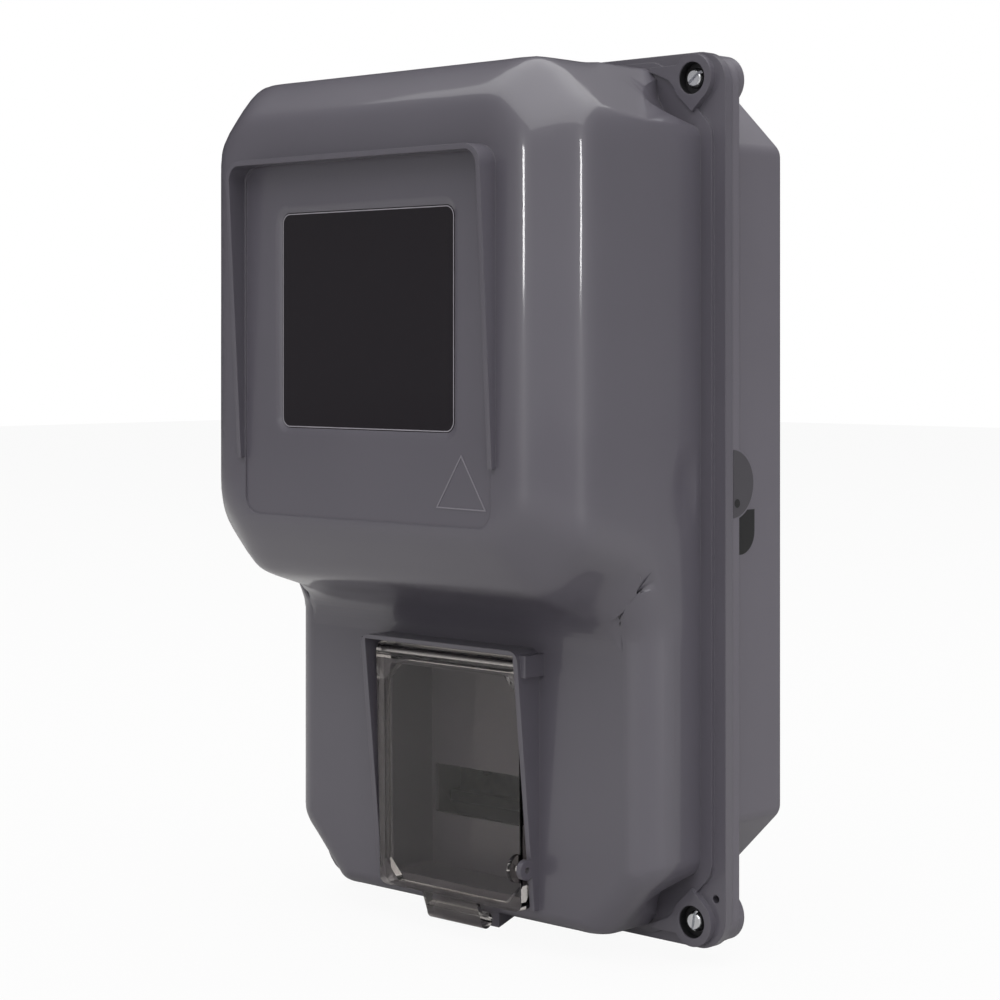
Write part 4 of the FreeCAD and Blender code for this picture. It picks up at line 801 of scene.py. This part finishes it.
def makePaneEdgeHighlight():
    shape = bmesh.new()
    shape.from_mesh(pieces["window_pane"].data)
    nearest = min(v.co.y for v in shape.verts) + paneEdgeHighlight["slack"] / 1000
    front = [face for face in shape.faces if all(v.co.y < nearest for v in face.verts)]
    ring = set(bmesh.ops.inset_region(shape, faces=front, thickness=paneEdgeHighlight["width"] / 1000,
                                      use_even_offset=True)["faces"])
    bmesh.ops.delete(shape, geom=[face for face in shape.faces if face not in ring], context="FACES")
    bmesh.ops.translate(shape, verts=shape.verts, vec=(0, -paneEdgeHighlight["proud"] / 1000, 0))
    bmesh.ops.solidify(shape, geom=list(shape.faces), thickness=paneEdgeHighlight["thick"] / 1000)
    for face in shape.faces:
        face.smooth = False
    addDetail("paneEdgeHighlight", shape, mouldedPlastic("paintedPaneEdgeHighlight", paneEdgeHighlightLook))


makePaneEdgeHighlight()
print("meter box: pane edge made")

# floor in metres; floorShare is how much of the floor the camera sees as plain white, and the world is
# brightest towards openSide
studio = {"floorZ": -0.20, "floorSize": 12.0, "floorColour": "#BDBCBB", "floorGloss": 0.9, "floorShare": 0.94,
          "worldColour": "#FFFFFF", "worldDim": 0.02, "worldBright": 0.68, "openSide": (0.69, -0.72, 0.0)}


def makeFloor():
    mesh = bpy.data.meshes.new("studioFloor")
    half = studio["floorSize"] / 2
    corners = [(-half, -half), (half, -half), (half, half), (-half, half)]
    mesh.from_pydata([(x, y, studio["floorZ"]) for x, y in corners], [], [(0, 1, 2, 3)])
    material, tree, shader, place = newMaterial("paleStudioFloor")
    shader.inputs["Base Color"].default_value = linearColour(studio["floorColour"])
    shader.inputs["Roughness"].default_value = studio["floorGloss"]
    glow = addNode(tree, "ShaderNodeEmission", values={"Strength": 1.0})
    seen = addNode(tree, "ShaderNodeLightPath")
    share = addNode(tree, "ShaderNodeMath", props={"operation": "MULTIPLY"}, values={1: studio["floorShare"]},
                    links={0: seen.outputs["Is Camera Ray"]})
    blend = addNode(tree, "ShaderNodeMixShader",
                    links={0: share.outputs[0], 1: shader.outputs[0], 2: glow.outputs[0]})
    output = next(node for node in tree.nodes if node.type == "OUTPUT_MATERIAL")
    tree.links.new(blend.outputs[0], output.inputs["Surface"])
    mesh.materials.append(material)
    linkPiece("studioFloor", mesh)


def makeWorld():
    world = bpy.data.worlds.new("softStudio")
    bpy.context.scene.world = world
    world.use_nodes = True
    tree = world.node_tree
    tree.nodes.clear()
    white = linearColour(studio["worldColour"])
    place = addNode(tree, "ShaderNodeTexCoord")
    toward = addNode(tree, "ShaderNodeVectorMath", props={"operation": "DOT_PRODUCT"},
                     values={1: studio["openSide"]}, links={0: place.outputs["Generated"]})
    level = addNode(tree, "ShaderNodeMapRange", props={"interpolation_type": "SMOOTHSTEP"},
                    values={"From Min": -1.0, "From Max": 1.0, "To Min": studio["worldDim"],
                            "To Max": studio["worldBright"]}, links={"Value": toward.outputs["Value"]})
    soft = addNode(tree, "ShaderNodeBackground", values={"Color": white},
                   links={"Strength": level.outputs["Result"]})
    plain = addNode(tree, "ShaderNodeBackground", values={"Color": white, "Strength": 1.0})
    seen = addNode(tree, "ShaderNodeLightPath")
    blend = addNode(tree, "ShaderNodeMixShader",
                    links={0: seen.outputs["Is Camera Ray"], 1: soft.outputs[0], 2: plain.outputs[0]})
    addNode(tree, "ShaderNodeOutputWorld", links={"Surface": blend.outputs[0]})


# places and sizes in metres, power in watts
lamps = {
    "skyPanel": {"place": (0.45, -0.35, 2.1), "aim": (0, -0.08, 0.0), "size": (5.0, 5.0), "power": 150},
    "frontStrip": {"place": (0.09, -2.65, 0.31), "aim": (0.09, -0.15, 0.12), "size": (0.2, 0.32), "power": 8},
    "sideStrip": {"place": (2.65, -0.14, 0.31), "aim": (0.11, -0.14, 0.12), "size": (0.2, 0.32), "power": 8},
}


def makeLamps():
    for name, lamp in lamps.items():
        light = bpy.data.lights.new(name, "AREA")
        light.shape = "RECTANGLE"
        light.size, light.size_y = lamp["size"]
        light.energy = lamp["power"]
        holder = linkPiece(name, light)
        toAim = Vector(lamp["aim"]) - Vector(lamp["place"])
        holder.location = lamp["place"]
        holder.rotation_euler = toAim.to_track_quat("-Z", "Y").to_euler()


# the photograph's viewpoint, in metres and degrees; the shift keeps the picture's frame
viewpoint = {"place": (0.7679, -0.8722, 0.0660), "turn": 43.5, "sensor": 36, "lens": 87.46,
             "shift": (0.0, -0.1537), "clipStart": 0.01}


def makeCamera():
    camera = linkPiece("photoCamera", bpy.data.cameras.new("photoCamera"))
    camera.location = viewpoint["place"]
    camera.rotation_euler = (math.radians(90), 0, math.radians(viewpoint["turn"]))
    camera.data.sensor_width = viewpoint["sensor"]
    camera.data.lens = viewpoint["lens"]
    camera.data.shift_x, camera.data.shift_y = viewpoint["shift"]
    camera.data.clip_start = viewpoint["clipStart"]
    bpy.context.scene.camera = camera


makeFloor()
makeWorld()
makeLamps()
makeCamera()
bpy.context.scene.view_settings.view_transform = "Standard"
print("meter box: stage, light and camera set")
